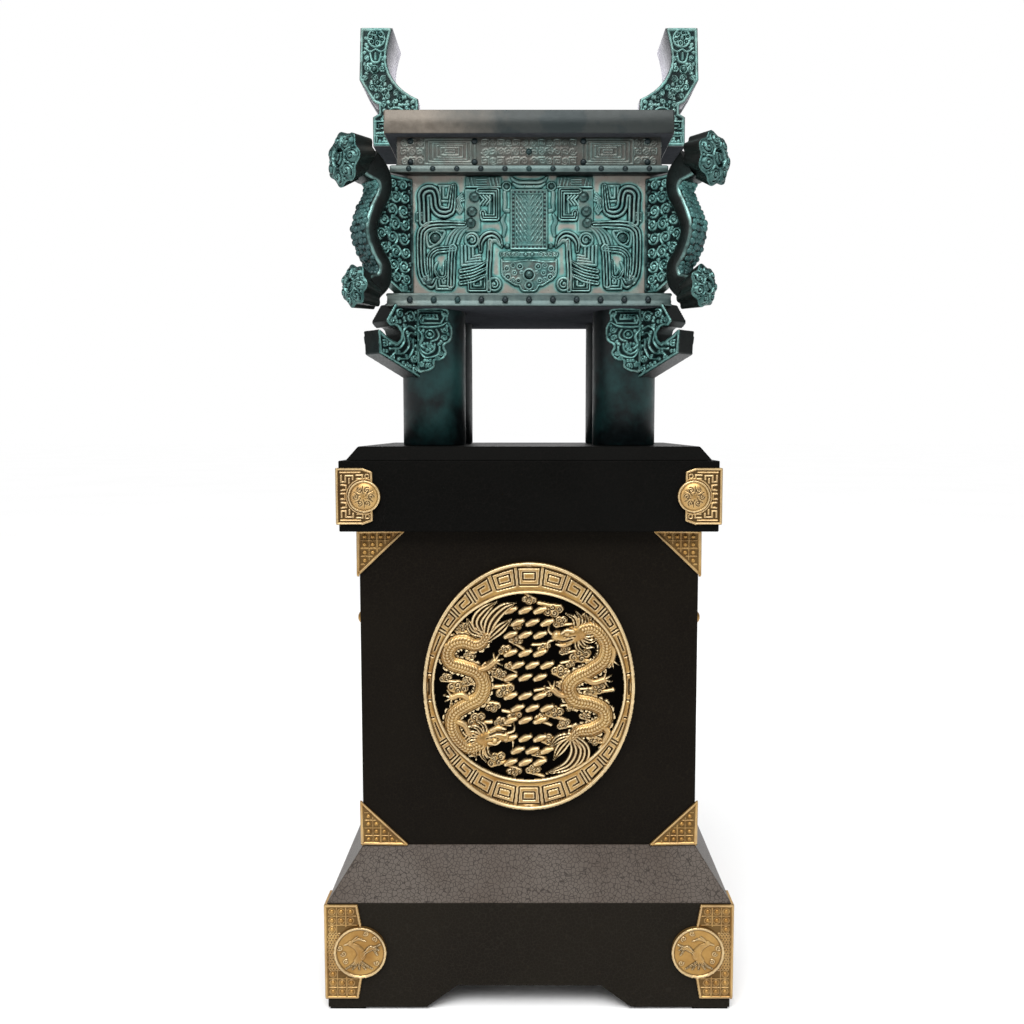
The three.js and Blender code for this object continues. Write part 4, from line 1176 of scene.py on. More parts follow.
class DrawnIn:
    """A round face that swells in the middle, and whose back is smaller and leans up or down."""

    def __init__(self, face, radius, depth, lean):
        self.face, self.radius, self.depth, self.lean, self.flip = face, radius, depth, lean, face.flip

    def __call__(self, u, v, h):
        back = np.clip(-h / self.depth, 0, 1)
        swell = DISC_SWELL * np.clip(1 - (u**2 + v**2) / self.radius**2, 0, 1)
        rise = self.lean * self.radius * (1 - DISC_NECK_TALL)
        narrowed = u * (1 - (1 - DISC_NECK_WIDE) * back)
        lowered = v * (1 - (1 - DISC_NECK_TALL) * back)
        return self.face(narrowed, lowered + rise * back, h + swell)


def disc_carving(radius):
    c = Carving(-radius * 1.1, radius * 1.1, -radius * 1.1, radius * 1.1, 1.2, deep=BLACK_GROUND, shade=0.76)
    edge = circle(0, 0, radius, 98, DISC_LOBES, 0.08)
    c.edging(edge, 2.0, 2.0, 2.4)
    for k in range(DISC_LOBES):
        turn = k * 2 * math.pi / DISC_LOBES
        u, v = polar(radius * 0.7, turn)
        c.boss(u, v, radius * 0.29, 8.0)
        c.cut(spiral(u, v, radius * 0.22, 1.4, turn), 1.5, 3.0, soft=False)
        turn += math.pi / DISC_LOBES
        u, v = polar(radius * 0.5, turn)
        c.band([(u * 0.8, v * 0.8), (u * 1.3, v * 1.3, 0.5)], radius * 0.08, 7)
        c.boss(*polar(radius * 0.8, turn), 2.4, 5)
    shield = [(-0.24, 0.22), (0.24, 0.22), (0.2, -0.08), (0.0, -0.3), (-0.2, -0.08)]
    c.plate([(u * radius, v * radius) for u, v in shield], 8.0, 3.0)
    c.cut([(u * radius * 0.6, v * radius * 0.6) for u, v in shield], 1.5, 3.0, soft=False, closed=True)
    c.ring(0, 0, radius * 0.4, 1.8, 7.0)
    return c, edge


def ribbon(piece, studs, corner, away, across):
    """The curling ribbon on the web's outer edge, swelling into its discs, with knobbed scales on it."""
    spine = [(90, 1406), (67, 1390), (63, 1366), (80, 1333), (90, 1300), (79, 1268), (64, 1246), (68, 1222),
             (86, 1209)]
    line = curve(spine, 7)[:, :2]
    way = np.gradient(line, axis=0)
    way /= np.linalg.norm(way, axis=1)[:, None]
    normal = np.stack([-way[:, 1], way[:, 0]], axis=1)
    swell = np.interp(np.linspace(0, 1, len(line)), (0, 0.1, 0.2, 0.3, 0.7, 0.8, 0.9, 1),
                      (26, 14, 5, 0, 0, 3, 8, 16))
    thick = RIBBON_THICK + swell
    rings, shares = [], []
    for (u, v), (nu, nv), through in zip(line, normal, thick):
        ring = []
        for cu, cv, start in ((1, 1, 0), (-1, 1, 90), (-1, -1, 180), (1, -1, 270)):
            for k in range(4):
                turn = math.radians(start + 30 * k)
                s = cu * (RIBBON_WIDE / 2 - RIBBON_ROUND) + RIBBON_ROUND * math.cos(turn)
                t = cv * (through / 2 - RIBBON_ROUND) + RIBBON_ROUND * math.sin(turn)
                ring.append(corner + away * (u + t * nu) + Z * (v + t * nv) + across * s)
                # One front corner of each section gets wear with a painted highlight.
                rubbed_and_highlit = cv > 0 and k == (2 if cu < 0 else 1)
                shares.append((0.8, 0.4, 0.7) if rubbed_and_highlit else (0.94, 0.2, 0))
        rings.append(ring)
    loft(piece, rings, True, shares)
    chance = np.random.default_rng(7)
    gone = np.concatenate([[0], np.cumsum(np.linalg.norm(np.diff(line, axis=0), axis=1))])
    for k, run in enumerate(np.arange(30, gone[-1] - 22, SCALE_PITCH)):
        u, v = np.interp(run, gone, line[:, 0]), np.interp(run, gone, line[:, 1])
        out = away * np.interp(run, gone, normal[:, 0]) + Z * np.interp(run, gone, normal[:, 1])
        out = out / np.linalg.norm(out)
        surface = corner + away * u + Z * v + out * (np.interp(run, gone, thick) / 2 - 1)
        at = Face(surface, across, np.cross(out, across), out)
        for s in (-13.5, -4.5, 4.5, 13.5):
            shift_s, shift_v, grow = chance.random(3)
            studs.add(at, s + 2.4 * (k % 2) + 3 * shift_s - 2.7, 4 * shift_v - 2, 4.2 + 2.6 * grow)


def corner_flanges():
    web, web_edge = web_carving()
    discs = [(disc_carving(radius), radius, neck, reach, height, lean)
             for radius, neck, reach, height, lean in ((41, 86, 127, 1408, 1), (33, 72, 110, 1210, -1))]
    for sx, sy, name in QUARTERS:
        away = np.array([sx, sy, 0]) / math.sqrt(2)
        across = np.cross(away, Z)
        corner = np.array([sx * BOWL_HALF_X, sy * BOWL_HALF_Y, 0.0])
        piece, scales = Piece(), StudRow()
        carved(piece, web, Face(corner + across * WEB_THICK / 2, away, Z, across), web_edge,
               back=-WEB_THICK, two_faced=True)
        ribbon(piece, scales, corner, away, across)
        for (carving, edge), radius, neck, reach, height, lean in discs:
            face = Face(corner + away * reach + Z * height, np.cross(Z, away), Z, away)
            carved(piece, carving, DrawnIn(face, radius, reach - neck, lean), edge,
                   back=neck - reach, wall=(0.9, 0.2))
        cast(piece, f"corner_flange_{name}", BRONZE)
        scales.build(f"flange_scales_{name}", SCALE_BRONZE, BRONZE_SLOT, ["ding_vessel"], 0.8)


# Legs

def bracket_outline():
    points = [(20, LEG_TOP), (100, LEG_TOP), (120, 1158), (114, 1152)]
    mouth_u, mouth_v, mouth_radius, mouth_steps = 103, 1136, 14, 12
    for k in range(mouth_steps + 1):
        turn = 1.0 + (2 * math.pi - 2.9) * k / mouth_steps
        points.append((mouth_u + mouth_radius * math.cos(turn), mouth_v + mouth_radius * math.sin(turn)))
    return points + [(118, 1132), (136, 1144), (134, 1103), (48, 1064), (20, 1064)]


def bracket_carving():
    c = Carving(18, 138, 1062, 1190, 1.3, deep=BLACK_GROUND, shade=0.62)
    edge = bracket_outline()
    c.edging(edge, 3.4, 2.2, 2.8)
    c.curl(68, 1168, 10, 1.7, 3.4, 1.6, 0.5)
    c.boss(68, 1168, 3.6, 5.5)
    c.curl(90, 1172, 8, 1.5, 3.2, 1.5, 2.2, -1)
    c.curl(108, 1160, 5, 1.4, 3.2, 1.3, 1.0)
    c.band([(88, 1150, 0.5), (90, 1136), (98, 1124), (112, 1120, 0.6)], 4.0, 2.4)
    c.band([(58, 1148), (72, 1152), (84, 1142), (82, 1126), (92, 1114), (112, 1112)], 2.0, 3.4)
    c.band([(57, 1138), (68, 1141), (74, 1134), (72, 1118), (84, 1106), (104, 1104)], 1.7, 3.4)
    c.band([(57, 1128), (64, 1130), (63, 1114), (74, 1098), (90, 1096)], 1.6, 3.4)
    c.curl(122, 1120, 6, 1.5, 3.2, 1.4, 1.0)
    c.curl(108, 1098, 4.5, 1.3, 3.2, 1.4, 2.0)
    c.curl(60, 1098, 7, 1.5, 3.2, 1.6, 0.2, -1)
    c.curl(60, 1080, 6, 1.4, 3.2, 1.6, 1.2)
    c.curl(78, 1086, 5, 1.3, 3.2, 1.3, 2.2)
    c.boss(80, 1160, 2.6, 4.4)
    c.fill(edge, 3.0, 1.2, 2.4)
    return c, edge


def mask_carving():
    c = Carving(0, 62, 1072, 1186, 1.2, deep=BLACK_GROUND, floor=2.8, shade=0.6)
    edge = [(0, 1183), (50, 1183), (52, 1165), (60, 1150), (58, 1130), (46, 1120), (50, 1108), (42, 1096),
            (30, 1094), (30, 1084), (18, 1076), (0, 1074)]
    smooth_edge = curve(edge, 4)[:, :2]
    c.edging(smooth_edge, 2.2, 1.7, 2.4)
    c.line([(6, 1178), (42, 1178), (45, 1168), (40, 1158), (8, 1158), (5, 1166), (8, 1172), (34, 1172),
            (35, 1165), (18, 1165)], 1.5, 2.8)
    c.band([(3, 1153), (20, 1151), (38, 1153), (50, 1160)], 2.0, 3.4)
    c.band([(3, 1147, 0.7), (10, 1136), (6, 1122), (12, 1116)], 2.6, 4.0)
    c.ring(22, 1139, 6.8, 1.4, 2.8)
    c.boss(22, 1139, 4.0, 5.0)
    c.band([(33, 1147), (37, 1138), (33, 1130), (24, 1127)], 1.5, 2.8)
    c.band([(4, 1128), (8, 1112), (18, 1106), (28, 1112), (30, 1122)], 1.8, 3.2)
    c.band([(4, 1114), (12, 1101), (24, 1100), (36, 1106), (38, 1118)], 1.8, 3.2)
    for u, v, r, hand in ((47, 1147, 5.5, 1), (46, 1133, 5, -1), (40, 1107, 5, 1), (20, 1086, 5, -1),
                          (9, 1088, 4.5, 1), (46, 1172, 3.5, -1), (34, 1098, 3.5, 1)):
        c.curl(u, v, r, 1.3, 3.0, 1.5, u * 0.2, hand)
    c.fill(smooth_edge, 2.4, 1.1, 2.2)
    return c, smooth_edge


class Wrap:
    """A carving bent round a leg: u runs along the leg's surface from the bracket's face."""

    def __init__(self, axis, away, hand):
        self.axis, self.away, self.flip = axis, math.atan2(away[1], away[0]), hand < 0
        self.hand = hand

    def __call__(self, u, v, h):
        start = math.asin(BRACKET_THICK / 2 / LEG_RADIUS)
        turn = self.away + self.hand * (start + np.asarray(u) / LEG_RADIUS)
        reach = LEG_RADIUS + np.asarray(h)
        return np.stack([self.axis[0] + reach * np.cos(turn), self.axis[1] + reach * np.sin(turn),
                         np.broadcast_to(v, turn.shape)], axis=-1)


def legs():
    bracket, bracket_edge = bracket_carving()
    mask, mask_edge = mask_carving()
    for sx, sy, name in QUARTERS:
        away = np.array([sx, sy, 0]) / math.sqrt(2)
        across = np.cross(away, Z)
        axis = np.array([sx * LEG_X, sy * LEG_Y, 0.0])
        shaft = Piece()
        profile = [(LEG_RADIUS - 2, PLATFORM_TOP), (LEG_RADIUS, PLATFORM_TOP + 2), (LEG_RADIUS, LEG_TOP)]
        lathe(shaft, profile, Face(axis, X, Y, Z), 64)
        cast(shaft, f"leg_{name}", LEG_BRONZE)
        head = Piece()
        carved(head, bracket, Face(axis + across * BRACKET_THICK / 2, away, Z, across), bracket_edge,
               back=-BRACKET_THICK, two_faced=True, wall=(0.95, 0.2))
        for hand in SIDES:
            carved(head, mask, Wrap(axis, away, hand), mask_edge, back=-1.5)
        cast(head, f"beast_bracket_{name}", BRONZE)


# Pedestal

def tier_piece(node, finish, edge):
    """A tier's own solid with its edges eased."""
    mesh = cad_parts[node].data.copy()
    work = bmesh.new()
    work.from_mesh(mesh)
    bmesh.ops.remove_doubles(work, verts=work.verts, dist=1e-5)
    bmesh.ops.dissolve_limit(work, angle_limit=math.radians(1), verts=work.verts, edges=work.edges)
    work.to_mesh(mesh)
    work.free()
    mesh.materials.clear()
    mesh.materials.append(finish)
    piece = placed(f"lacquered_{node}", mesh)
    settle(bevelled(piece, edge, 3))
    finished(piece, LACQUER_SLOT, node)


def pedestal():
    # The cap and platform take the darker lacquer as painted shade; the skirt takes the crackle lightened by
    # a painted reflection.
    finishes = {"pedestal_base": BASE_LACQUER, "pedestal_skirt": LIT_CRACKLE, "pedestal_shaft": LACQUER,
                "pedestal_cap": SHADED_CAP_LACQUER, "pedestal_platform": SHADED_CAP_LACQUER}
    for node, finish in finishes.items():
        tier_piece(node, finish, 2.0)
    for _, _, name in QUARTERS:
        tier_piece(f"foot_pad_{name}", LACQUER, 0.8)


# Gilt fittings

def corner_faces(sx, sy, half, up=1):
    """The two faces of a corner; u runs inwards from the corner's edge."""
    half_y = half - DEPTH_LESS
    corner = np.array([sx * half, sy * half_y, 0.0])
    return (Face(corner, -X * sx, Z * up, Y * sy), Face(corner, -Y * sy, Z * up, X * sx))


def cap_corner():
    leaf = [(-PLATE, CAP_LEAF_LOW), (CAP_LEAF - 16, CAP_LEAF_LOW), (CAP_LEAF, CAP_LEAF_LOW + 6),
            (CAP_LEAF, CAP_LEAF_HIGH - 6), (CAP_LEAF - 16, CAP_LEAF_HIGH), (-PLATE, CAP_LEAF_HIGH)]
    middle = (CAP_LEAF_LOW + CAP_LEAF_HIGH) / 2
    c = Carving(-PLATE, CAP_LEAF, CAP_LEAF_LOW, CAP_LEAF_HIGH, 1.0, deep=0.85, floor=PLATE_GROUND)
    c.edging(leaf, 2.0, 2.0, 2.4)
    for up in SIDES:
        def at(*points):
            return [(u, middle + up * v) for u, v in points]
        c.line(at((3, 39.5), (36, 39.5)), 1.3, 2.0)
        for points, half in ((((5, 34), (5, 24), (12, 24), (12, 34), (24, 34), (24, 28)), 1.5),
                             (((18, 29), (18, 22)), 1.4), (((30, 35), (40, 35), (40, 29), (31, 29)), 1.5)):
            c.line(at(*points), half, 2.2)
        c.ring(47.5, middle + up * 33, 3.4, 1.2, 2.2)
        c.line(at((5, 19), (13, 18), (13, 11), (5, 10)), 1.4, 2.2)
    c.line([(4, middle - 4.5), (11, middle - 4.5), (11, middle + 4.5), (4, middle + 4.5)], 1.4, 2.2)
    c.ring(CAP_BOSS_INSET, middle, CAP_BOSS_RADIUS + 2.4, 1.4, 2.2)
    d = Carving(-CAP_BOSS_RADIUS, CAP_BOSS_RADIUS, -CAP_BOSS_RADIUS, CAP_BOSS_RADIUS, 0.9, floor=4.5)
    d.boss(0, 0, CAP_BOSS_RADIUS - 3.6, 7.5)
    d.ring(0, 0, CAP_BOSS_RADIUS - 2.0, 1.9, 2.4)
    for k in range(6):
        turn = k * math.pi / 3
        d.cut(spiral(*polar(12, turn), 5.0, 1.3, turn), 0.9, 1.1, soft=False)
        d.cut([polar(4, turn + 0.4), polar(9, turn + 0.7), polar(17, turn + 0.6)], 0.8, 1.0)
    rim = circle(0, 0, CAP_BOSS_RADIUS, 56)
    for sx, sy, name in QUARTERS:
        piece = Piece()
        for face in corner_faces(sx, sy, CAP_HALF):
            carved(piece, c, face, leaf, back=0.0, wall=GILT_WALL)
            boss = Face(face(CAP_BOSS_INSET, middle, 0), face.along, face.up, face.out)
            carved(piece, d, boss, rim, back=0.0, wall=GILT_WALL)
        piece.build(f"gilt_cap_corner_{name}", GILT, GILT_SLOT, f"cap_corner_{name}")


def shaft_corner(studs, where, level, up):
    leaf = [(-PLATE, 0), (SHAFT_LEAF, 0), (-PLATE, SHAFT_LEAF)]
    c = Carving(-PLATE, SHAFT_LEAF, 0, SHAFT_LEAF, 1.0, deep=0.7, floor=PLATE_GROUND)
    c.edging(leaf, 3.0, 2.6, 2.2)
    spots = [(9.5 + SHAFT_STUD_PITCH * col, 10.5 + SHAFT_STUD_PITCH * row)
             for row in range(4) for col in range(4 - row)]
    for k in range(4):
        line = 17 + SHAFT_STUD_PITCH * k
        c.line([(3, line), (66 - line, line)], 0.9, 0.9)
        c.line([(line, 4), (line, 66 - line)], 0.9, 0.9)
    for sx, sy, name in QUARTERS:
        piece = Piece()
        for face in corner_faces(sx, sy, SHAFT_HALF, up):
            face.origin = face.origin + Z * level
            carved(piece, c, face, leaf, back=0.0, wall=GILT_WALL)
            for u, v in spots:
                studs.add(face, u, v, SHAFT_STUD, PLATE_GROUND)
        piece.build(f"gilt_shaft_{where}_corner_{name}", GILT, GILT_SLOT, f"shaft_{where}_corner_{name}")


def base_corner(studs):
    middle = (BASE_LEAF_LOW + BASE_LEAF_HIGH) / 2
    leaf = [(-PLATE, BASE_LEAF_LOW), (BASE_LEAF, BASE_LEAF_LOW), (BASE_LEAF + 7, middle - 42),
            (BASE_LEAF + 7, middle + 42), (BASE_LEAF, BASE_LEAF_HIGH), (-PLATE, BASE_LEAF_HIGH)]
    c = Carving(-PLATE, BASE_LEAF + 7, BASE_LEAF_LOW, BASE_LEAF_HIGH, 1.05, deep=0.7, floor=PLATE_GROUND)
    c.edging(leaf, 2.4, 2.0, 2.2)
    spots = [(9 + BASE_STUD_PITCH * col, middle + up * (70 - BASE_STUD_PITCH * row))
             for up in SIDES for row in range(2) for col in range(3)]
    spots += [(9, middle + up * 39) for up in SIDES]
    for up in SIDES:
        for v in (62.3, 46.8):
            c.line([(3, middle + up * v), (50, middle + up * v)], 0.9, 1.2)
        for u in (16.8, 32.3):
            c.line([(u, middle + up * 44), (u, middle + up * 77)], 0.9, 1.2)
        c.line([(16.8, middle + up * 32), (16.8, middle + up * 46)], 0.9, 1.2)
    for u, v in spots:
        c.ring(u, v, 5.2, 0.9, 1.0)
    for row in range(-7, 8):
        for u in (3, 8, 13, 18):
            c.ring(u + 2.5 * (row % 2), middle + 4.4 * row, 1.9, 0.8, 1.3)
    d = Carving(-BASE_DISC_RADIUS, BASE_DISC_RADIUS, -BASE_DISC_RADIUS, BASE_DISC_RADIUS, 1.05, floor=5.0)
    d.ring(0, 0, BASE_DISC_RADIUS - 2.0, 2.0, 2.8)
    bird_on_disc(d)
    rim = circle(0, 0, BASE_DISC_RADIUS, 72)
    for sx, sy, name in QUARTERS:
        piece = Piece()
        for face in corner_faces(sx, sy, BASE_HALF):
            carved(piece, c, face, leaf, back=0.0, wall=GILT_WALL)
            disc = Face(face(BASE_DISC_INSET, middle, 0), face.along, face.up, face.out)
            carved(piece, d, disc, rim, back=0.0, wall=GILT_WALL)
            for u, v in spots:
                studs.add(face, u, v, BASE_STUD, PLATE_GROUND)
        piece.build(f"gilt_base_corner_{name}", GILT, GILT_SLOT, f"base_corner_{name}")


def bird_on_disc(d):
    """A long-tailed bird in low relief: neck and crest, folded wing, fanned tail and clouds."""
    d.band([(-6, -14, 0.7), (2, -4, 1.1), (-4, 8, 0.8), (-14, 14, 0.5)], 7.0, 2.0)
    d.boss(-16, 16, 4.6, 2.2)
    d.band([(-19, 16, 1), (-27, 13, 0.3)], 2.0, 1.8)
    for k in range(3):
        d.band([(-14, 19), (-8 + 3 * k, 25 - k), (-4 + 7 * k, 28 - 4 * k, 0.4)], 1.3, 1.6)
        d.band([(2, -2 - 3 * k), (18, 6 + 2 * k), (33 - 2 * k, 14 - 9 * k, 0.5)], 2.6, 2.2, 2)
    for k in range(5):
        d.band([(-4, -12), (-14 + 6 * k, -22), (-24 + 11 * k, -30 + abs(k - 2), 0.5)], 2.0, 1.9, 2)
    for u, v in ((-28, -2), (-24, -16), (24, 24), (10, 34), (28, -18), (-34, 8)):
        d.curl(u, v, 4.6, 1.1, 1.5, 1.4, u)


def fittings():
    studs = StudRow()
    cap_corner()
    shaft_corner(studs, "low", SKIRT_TOP, 1)
    shaft_corner(studs, "top", SHAFT_TOP, -1)
    base_corner(studs)
    studs.build("fitting_studs", GILT, GILT_SLOT, [], 0.8)
    for name, out in (("left", LEFT), ("right", RIGHT)):
        knob = Piece()
        profile = [(0.4, 0), (11, 0), (11.5, 2), (11, 4), (7.5, 6), (6, 10), (6, 18), (8, 21), (12, 25),
                   (KNOB_RADIUS, 29), (12.4, 34), (9.5, 39), (5, 41.4), (0.4, KNOB_REACH)]
        lathe(knob, profile, facing(out, SHAFT_HALF, KNOB_HEIGHT), 40)
        knob.build(f"gilt_side_knob_{name}", GILT, GILT_SLOT, f"side_knob_{name}")


# The front roundel

def dragon(c, spine, sign, head, tails, limbs):
    """A scaled body with a toothed back, clawed limbs, a maned head and a flame tail."""
    path = curve(spine, 8)
    near, wide, run = c.follow(path, 20)
    half = DRAGON_HALF * np.maximum(wide, 0.05)
    inside = near < half
    x = near[inside] / half[inside]
    scale = np.abs(np.sin(run[inside] * 0.62 + 2.6 * x**2 * math.pi) * np.cos(x * 7.0))
    scaled = 9.0 * np.sqrt(1 - x**2) + scale * 1.8 * (1 - x**2)
    c.lift(inside, scaled, np.clip(0.75 - 2.6 * scale, 0, 0.75))
    comb = (near >= half) & (near < half + 4.0 * np.abs(np.sin(run * 0.38)))
    c.lift(comb, 5.0 + 0 * near[comb])
    for points in tails:
        c.band(points, 10, 8.5, 3)
    for points in limbs:
        c.band(points, 6.0, 9)
        u, v = points[-1][:2]
        du, dv = np.array(points[-1][:2], float) - np.array(points[-2][:2], float)
        turn = math.atan2(dv, du)
        for spread in (-1.2, -0.45, 0.3, 1.05):
            tip = (u + CLAW * math.cos(turn + spread), v + CLAW * math.sin(turn + spread), 0.3)
            c.band([(u, v, 1.0), tip], 3.2, 7.5)
    hu, hv = head

    def at(points):
        return [(hu + p[0] * sign, hv + p[1] * sign, *p[2:]) for p in points]
    for k in range(8):
        turn = -1.5 + 0.46 * k
        c.band(at([(8, 4), (24 * math.cos(turn) + 8, 24 * math.sin(turn) + 4),
                   (38 * math.cos(turn + 0.35) + 8, 38 * math.sin(turn + 0.35) + 4, 0.25)]), 5.0, 8, 2)
    c.band(at([(12, 4, 1.25), (0, 0, 1.3), (-14, -3, 1.0), (-25, -1, 0.8)]), 12, 10.5)
    c.band(at([(-2, -12), (-14, -17), (-26, -15, 0.5)]), 4.6, 8)
    c.band(at([(2, 8), (-10, 9), (-18, 4, 0.5)]), 3.0, 3.0, rise=9)
    c.boss(hu - 8 * sign, hv + 4 * sign, 4.2, 3.5, 9)
    c.boss(hu - 26 * sign, hv + 1 * sign, 5, 4, 7)
    c.cut(at([(-24, -9), (-12, -10), (0, -6)]), 2.2, 3.0)
    c.cut(at([(-14, 0), (-6, -2), (6, 0)]), 1.2, 1.6)
    c.band(at([(4, 9), (12, 22), (4, 36, 0.4)]), 3.2, 8)
    c.band(at([(-24, -3), (-38, 6), (-38, 20, 0.3)]), 2.4, 6)
    c.band(at([(-24, -6), (-40, -12), (-40, -26, 0.3)]), 2.4, 6)


def medallion():
    """The oval roundel: two dragons among clouds beside rows of strokes, in a fret border."""
    c = Carving(-MEDALLION_HALF_X, MEDALLION_HALF_X, -MEDALLION_HALF_Z, MEDALLION_HALF_Z, 1.3,
                floor=MEDALLION_GROUND)
    oval = circle(0, 0, MEDALLION_HALF_X, 160, squash=MEDALLION_HALF_Z / MEDALLION_HALF_X)
    clouds = [(40, 132, 18), (54, 110, 14), (-22, 78, 13), (24, 68, 13), (88, 52, 20), (54, 24, 17),
              (30, -8, 14), (44, -46, 17), (22, -56, 13), (72, -34, 12), (-120, -4, 19), (-140, 14, 12),
              (-42, -6, 18), (-66, 34, 13), (-88, -58, 17), (-26, -50, 14), (34, -94, 15), (-54, -128, 18),
              (-26, -146, 14), (8, -146, 14), (118, -4, 17), (112, -92, 14), (-112, 100, 15), (-40, 62, 12),
              (0, 150, 13), (-104, 8, 13), (96, 116, 13), (-54, 96, 12), (62, 62, 12), (-50, 20, 14),
              (-62, -34, 14), (60, -66, 13), (-100, 52, 11), (100, -8, 12), (-48, -62, 12), (56, 2, 12),
              (-20, 104, 10), (14, -116, 11), (96, -52, 11), (70, 40, 11), (-32, 34, 10)]
    for k, (u, v, size) in enumerate(clouds):
        c.cloud(u, v, size, 5.5, 0.4 * math.sin(2.3 * k) + (math.pi if k % 3 == 0 else 0))
    left_body = [(-70, 88, 0.6), (-80, 76, 0.8), (-92, 72, 0.9), (-110, 78), (-129, 73), (-138, 57),
                 (-131, 41), (-110, 34), (-88, 25), (-77, 6, 1.05), (-84, -18, 1.05), (-107, -32),
                 (-127, -47), (-131, -70), (-121, -92, 0.95), (-103, -106, 0.9), (-82, -100, 0.9)]
    left_tails = [[(-72, 84, 0.6), (-64, 112, 1.2), (-44, 134), (-22, 144, 0.15)],
                  [(-76, 86, 0.6), (-88, 110, 1.1), (-76, 130), (-54, 146, 0.15)],
                  [(-68, 82, 0.6), (-48, 100), (-30, 116, 0.15)],
                  [(-78, 90, 0.6), (-96, 98, 0.8), (-104, 118, 0.15)]]
    left_limbs = [[(-128, 66), (-144, 74), (-140, 88)], [(-92, 26), (-70, 34), (-58, 44)],
                  [(-96, -26), (-114, -14), (-130, -18)], [(-126, -58), (-110, -66), (-102, -80)]]
    dragon(c, left_body, -1, (-66, -88), left_tails, left_limbs)
    right_body = [(88, 98, 0.9), (105, 101, 0.95), (121, 90), (131, 71), (126, 46), (102, 27), (76, 13),
                  (67, -4, 1.05), (78, -23, 1.05), (105, -29), (126, -40), (128, -59), (108, -73),
                  (84, -77, 0.8), (73, -88, 0.6)]
    right_tails = [[(72, -86, 0.6), (80, -112, 1.2), (66, -136), (30, -150, 0.15)],
                   [(70, -88, 0.6), (54, -106, 1.0), (42, -126, 0.15)],
                   [(75, -86, 0.6), (94, -106, 1.0), (90, -128), (72, -142, 0.15)],
                   [(68, -84, 0.6), (50, -90, 0.8), (36, -104, 0.15)]]
    right_limbs = [[(126, 78), (142, 64), (140, 46)], [(88, 20), (108, 8), (126, 12)],
                   [(76, -14), (54, -14), (40, -4)], [(120, -64), (134, -78), (128, -96)]]
    dragon(c, right_body, 1, (72, 88), right_tails, right_limbs)
    for middle in (110, 37, -37, -110):
        for row in range(3):
            v = middle + 21 - 21 * row
            for k in range(3):
                u = (k - 1) * 25 + (6 if row % 2 else -6)
                c.band([(u - 8.5, v - 3.5, 0.8), (u, v, 1.1), (u + 8.5, v + 3.5, 0.7)], 5.6, 9.0)
    radius = np.hypot(c.U, c.V)
    in_field = radius < MEDALLION_OPENING
    c.ground[in_field] = np.clip(1 - (c.h[in_field] - c.floor) / 1.2, 0, 1)
    border = ~in_field
    c.h[border] = MEDALLION_BORDER
    c.dark[border] = 0.0

    def ringed(share, angle):
        along_x, along_z = math.cos(angle) / MEDALLION_HALF_X, math.sin(angle) / MEDALLION_HALF_Z
        outer = 1 / math.sqrt(along_x**2 + along_z**2)
        return polar(MEDALLION_OPENING + share * (outer - MEDALLION_OPENING), angle)
    for k in range(FRET_UNITS):
        start = 2 * math.pi * (k - 0.5) / FRET_UNITS
        wide = 2 * math.pi / FRET_UNITS
        flip = math.cos(start + wide / 2) * math.sin(start + wide / 2) < 0

        def groove(half, *steps):
            points = [ringed(share, start + wide * (1 - along if flip else along)) for share, along in steps]
            c.cut(points, half, 3.0, soft=False)
        tall = abs(math.sin(start + wide / 2))
        if tall > 0.97:
            for low, high, near in ((0.28, 0.84, 0.08), (0.44, 0.68, 0.26)):
                far = 1 - near
                groove(1.5, (low, near), (high, near), (high, far), (low, far), (low, near))
        elif tall > 0.55:
            groove(1.6, (0.24, 0.02), (0.86, 0.02))
            groove(1.6, (0.3, 0.16), (0.8, 0.16), (0.8, 0.88), (0.34, 0.88), (0.34, 0.38), (0.6, 0.38),
                   (0.6, 0.66))
        elif k % 2:
            groove(1.5, (0.3, 0.1), (0.72, 0.1), (0.72, 0.9), (0.45, 0.9))
        else:
            groove(1.5, (0.5, 0.15), (0.5, 0.85))
    c.floor = 0.0
    c.band(circle(0, 0, MEDALLION_OPENING + 2.6, 120), 2.8, 5.0, soft=False, closed=True, rise=7.0)
    c.band(inset(oval, 3.2), 3.2, 5.0, soft=False, closed=True, rise=MEDALLION_BORDER)
    c.floor = MEDALLION_GROUND
    piece = Piece()
    shaft_front = facing(FRONT, SHAFT_HALF - DEPTH_LESS, MEDALLION_HEIGHT)
    carved(piece, c, shaft_front, inset(oval, 0.2), back=0.0, wall=GILT_WALL)
    piece.build("gilt_roundel", GILT, GILT_SLOT, "front_medallion")


# Camera, light and floor, in metres, degrees and watts

SENSOR_WIDTH, LENS, LENS_SHIFT = 36.0, 35.16, -0.0166
CAMERA_PLACE, LOOKS_DOWN = (0, -1.893, 0.9795), 4.8
SKY_STRENGTH, BACKDROP_STRENGTH = 0.25, 1.0
SUN_STRENGTH, SUN_ANGLE, SUN_WAY = 2.75, 55, (0.0, 0.55, -1.0)
AREA_LIGHTS = (("front_top", (-0.4, -2.6, 2.9), (0, 0, 0.7), (2.4, 1.0), 34),
               ("front_left", (-2.6, -2.0, 1.8), (0, 0, 1.0), (1.4, 2.2), 24),
               ("front_right", (2.6, -2.0, 1.8), (0, 0, 1.0), (1.4, 2.2), 15),
               ("back_fill", (0, 3.0, 2.2), (0, 0, 1.1), (2.6, 1.8), 26))
FLOOR_REACH = 60.0


def area_light(name, place, target, size, power):
    data = bpy.data.lights.new(name, "AREA")
    data.shape = "RECTANGLE"
    data.size, data.size_y = size
    data.energy = power
    lamp = placed(name, data)
    lamp.location = place
    lamp.rotation_euler = (Vector(target) - Vector(place)).to_track_quat("-Z", "Y").to_euler()


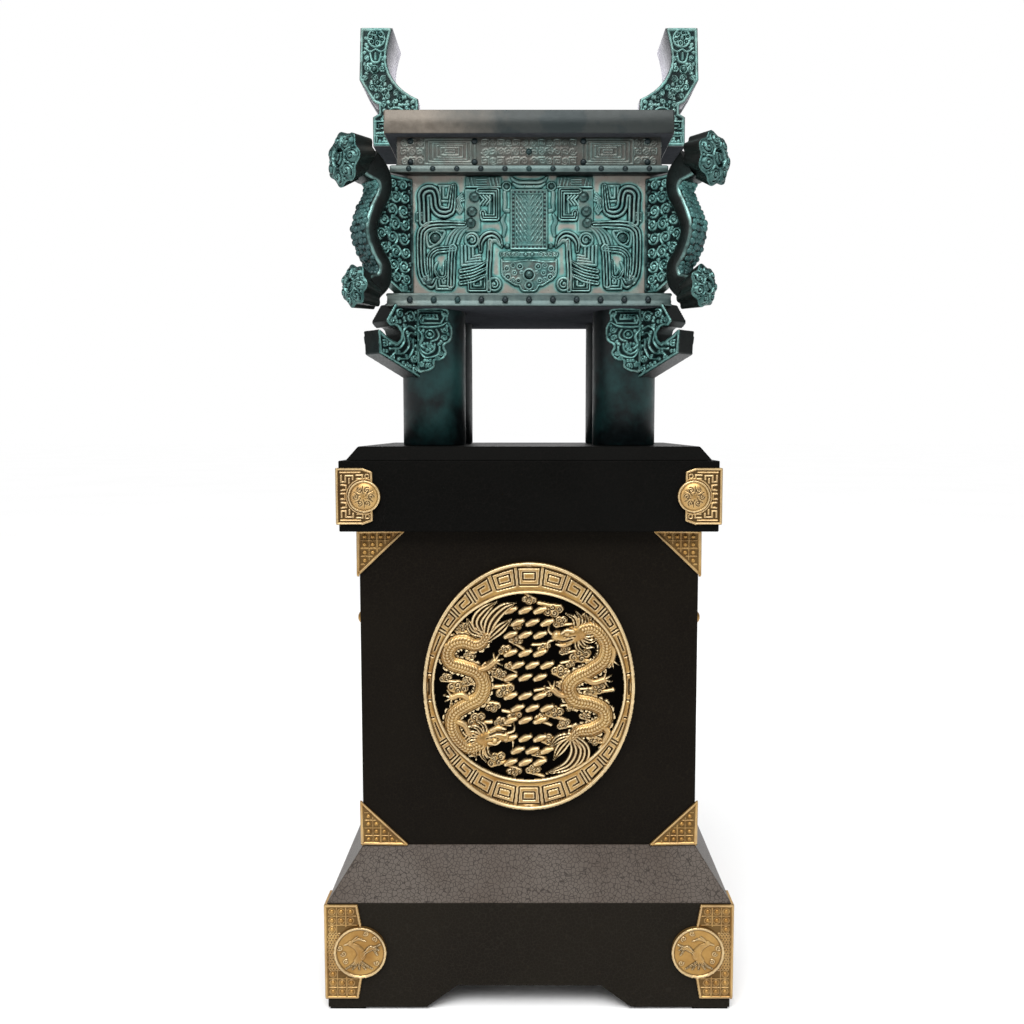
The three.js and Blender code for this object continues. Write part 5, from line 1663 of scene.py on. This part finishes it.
def studio():
    scene = bpy.context.scene
    scene.view_settings.view_transform = "Standard"
    data = bpy.data.cameras.new("camera")
    data.sensor_width = SENSOR_WIDTH
    data.lens = LENS
    data.shift_x = LENS_SHIFT
    camera = placed("camera", data)
    camera.location = CAMERA_PLACE
    camera.rotation_euler = (math.radians(90 - LOOKS_DOWN), 0, 0)
    scene.camera = camera
    world = bpy.data.worlds.new("studio_white")
    world.use_nodes = True
    tree = world.node_tree
    sky = tree.nodes["Background"]
    sky.inputs["Strength"].default_value = SKY_STRENGTH
    backdrop = tree.nodes.new("ShaderNodeBackground")
    backdrop.inputs["Strength"].default_value = BACKDROP_STRENGTH
    for light in (sky, backdrop):
        light.inputs["Color"].default_value = (1, 1, 1, 1)
    path = tree.nodes.new("ShaderNodeLightPath")
    choose = tree.nodes.new("ShaderNodeMixShader")
    tree.links.new(path.outputs["Is Camera Ray"], choose.inputs[0])
    tree.links.new(sky.outputs[0], choose.inputs[1])
    tree.links.new(backdrop.outputs[0], choose.inputs[2])
    tree.links.new(choose.outputs[0], tree.nodes["World Output"].inputs["Surface"])
    scene.world = world
    sun = bpy.data.lights.new("soft_sun", "SUN")
    sun.energy = SUN_STRENGTH
    sun.angle = math.radians(SUN_ANGLE)
    lamp = placed("soft_sun", sun)
    lamp.rotation_euler = Vector(SUN_WAY).to_track_quat("-Z", "Y").to_euler()
    for light in AREA_LIGHTS:
        area_light(*light)
    floor = Finish("pale_floor")
    cloudy = floor.noise(0.6, 2.0)
    pale = floor.mix(cloudy, (0.96, 0.96, 0.96, 1), (1.0, 1.0, 1.0, 1))
    floor.set("Base Color", pale)
    floor.set("Roughness", 1.0)
    floor.set("Specular IOR Level", 0.0)
    mesh = bpy.data.meshes.new("floor")
    corners = [(FLOOR_REACH * sx, FLOOR_REACH * sy, 0) for sx, sy in ((-1, -1), (1, -1), (1, 1), (-1, 1))]
    mesh.from_pydata(corners, [], [(0, 1, 2, 3)])
    mesh.materials.append(floor.material)
    ground = placed("floor", mesh)


studio()
bowl_shell()
bowl_panels()
neck_frieze()
bowl_studs()
ears()
corner_flanges()
legs()
pedestal()
fittings()
medallion()
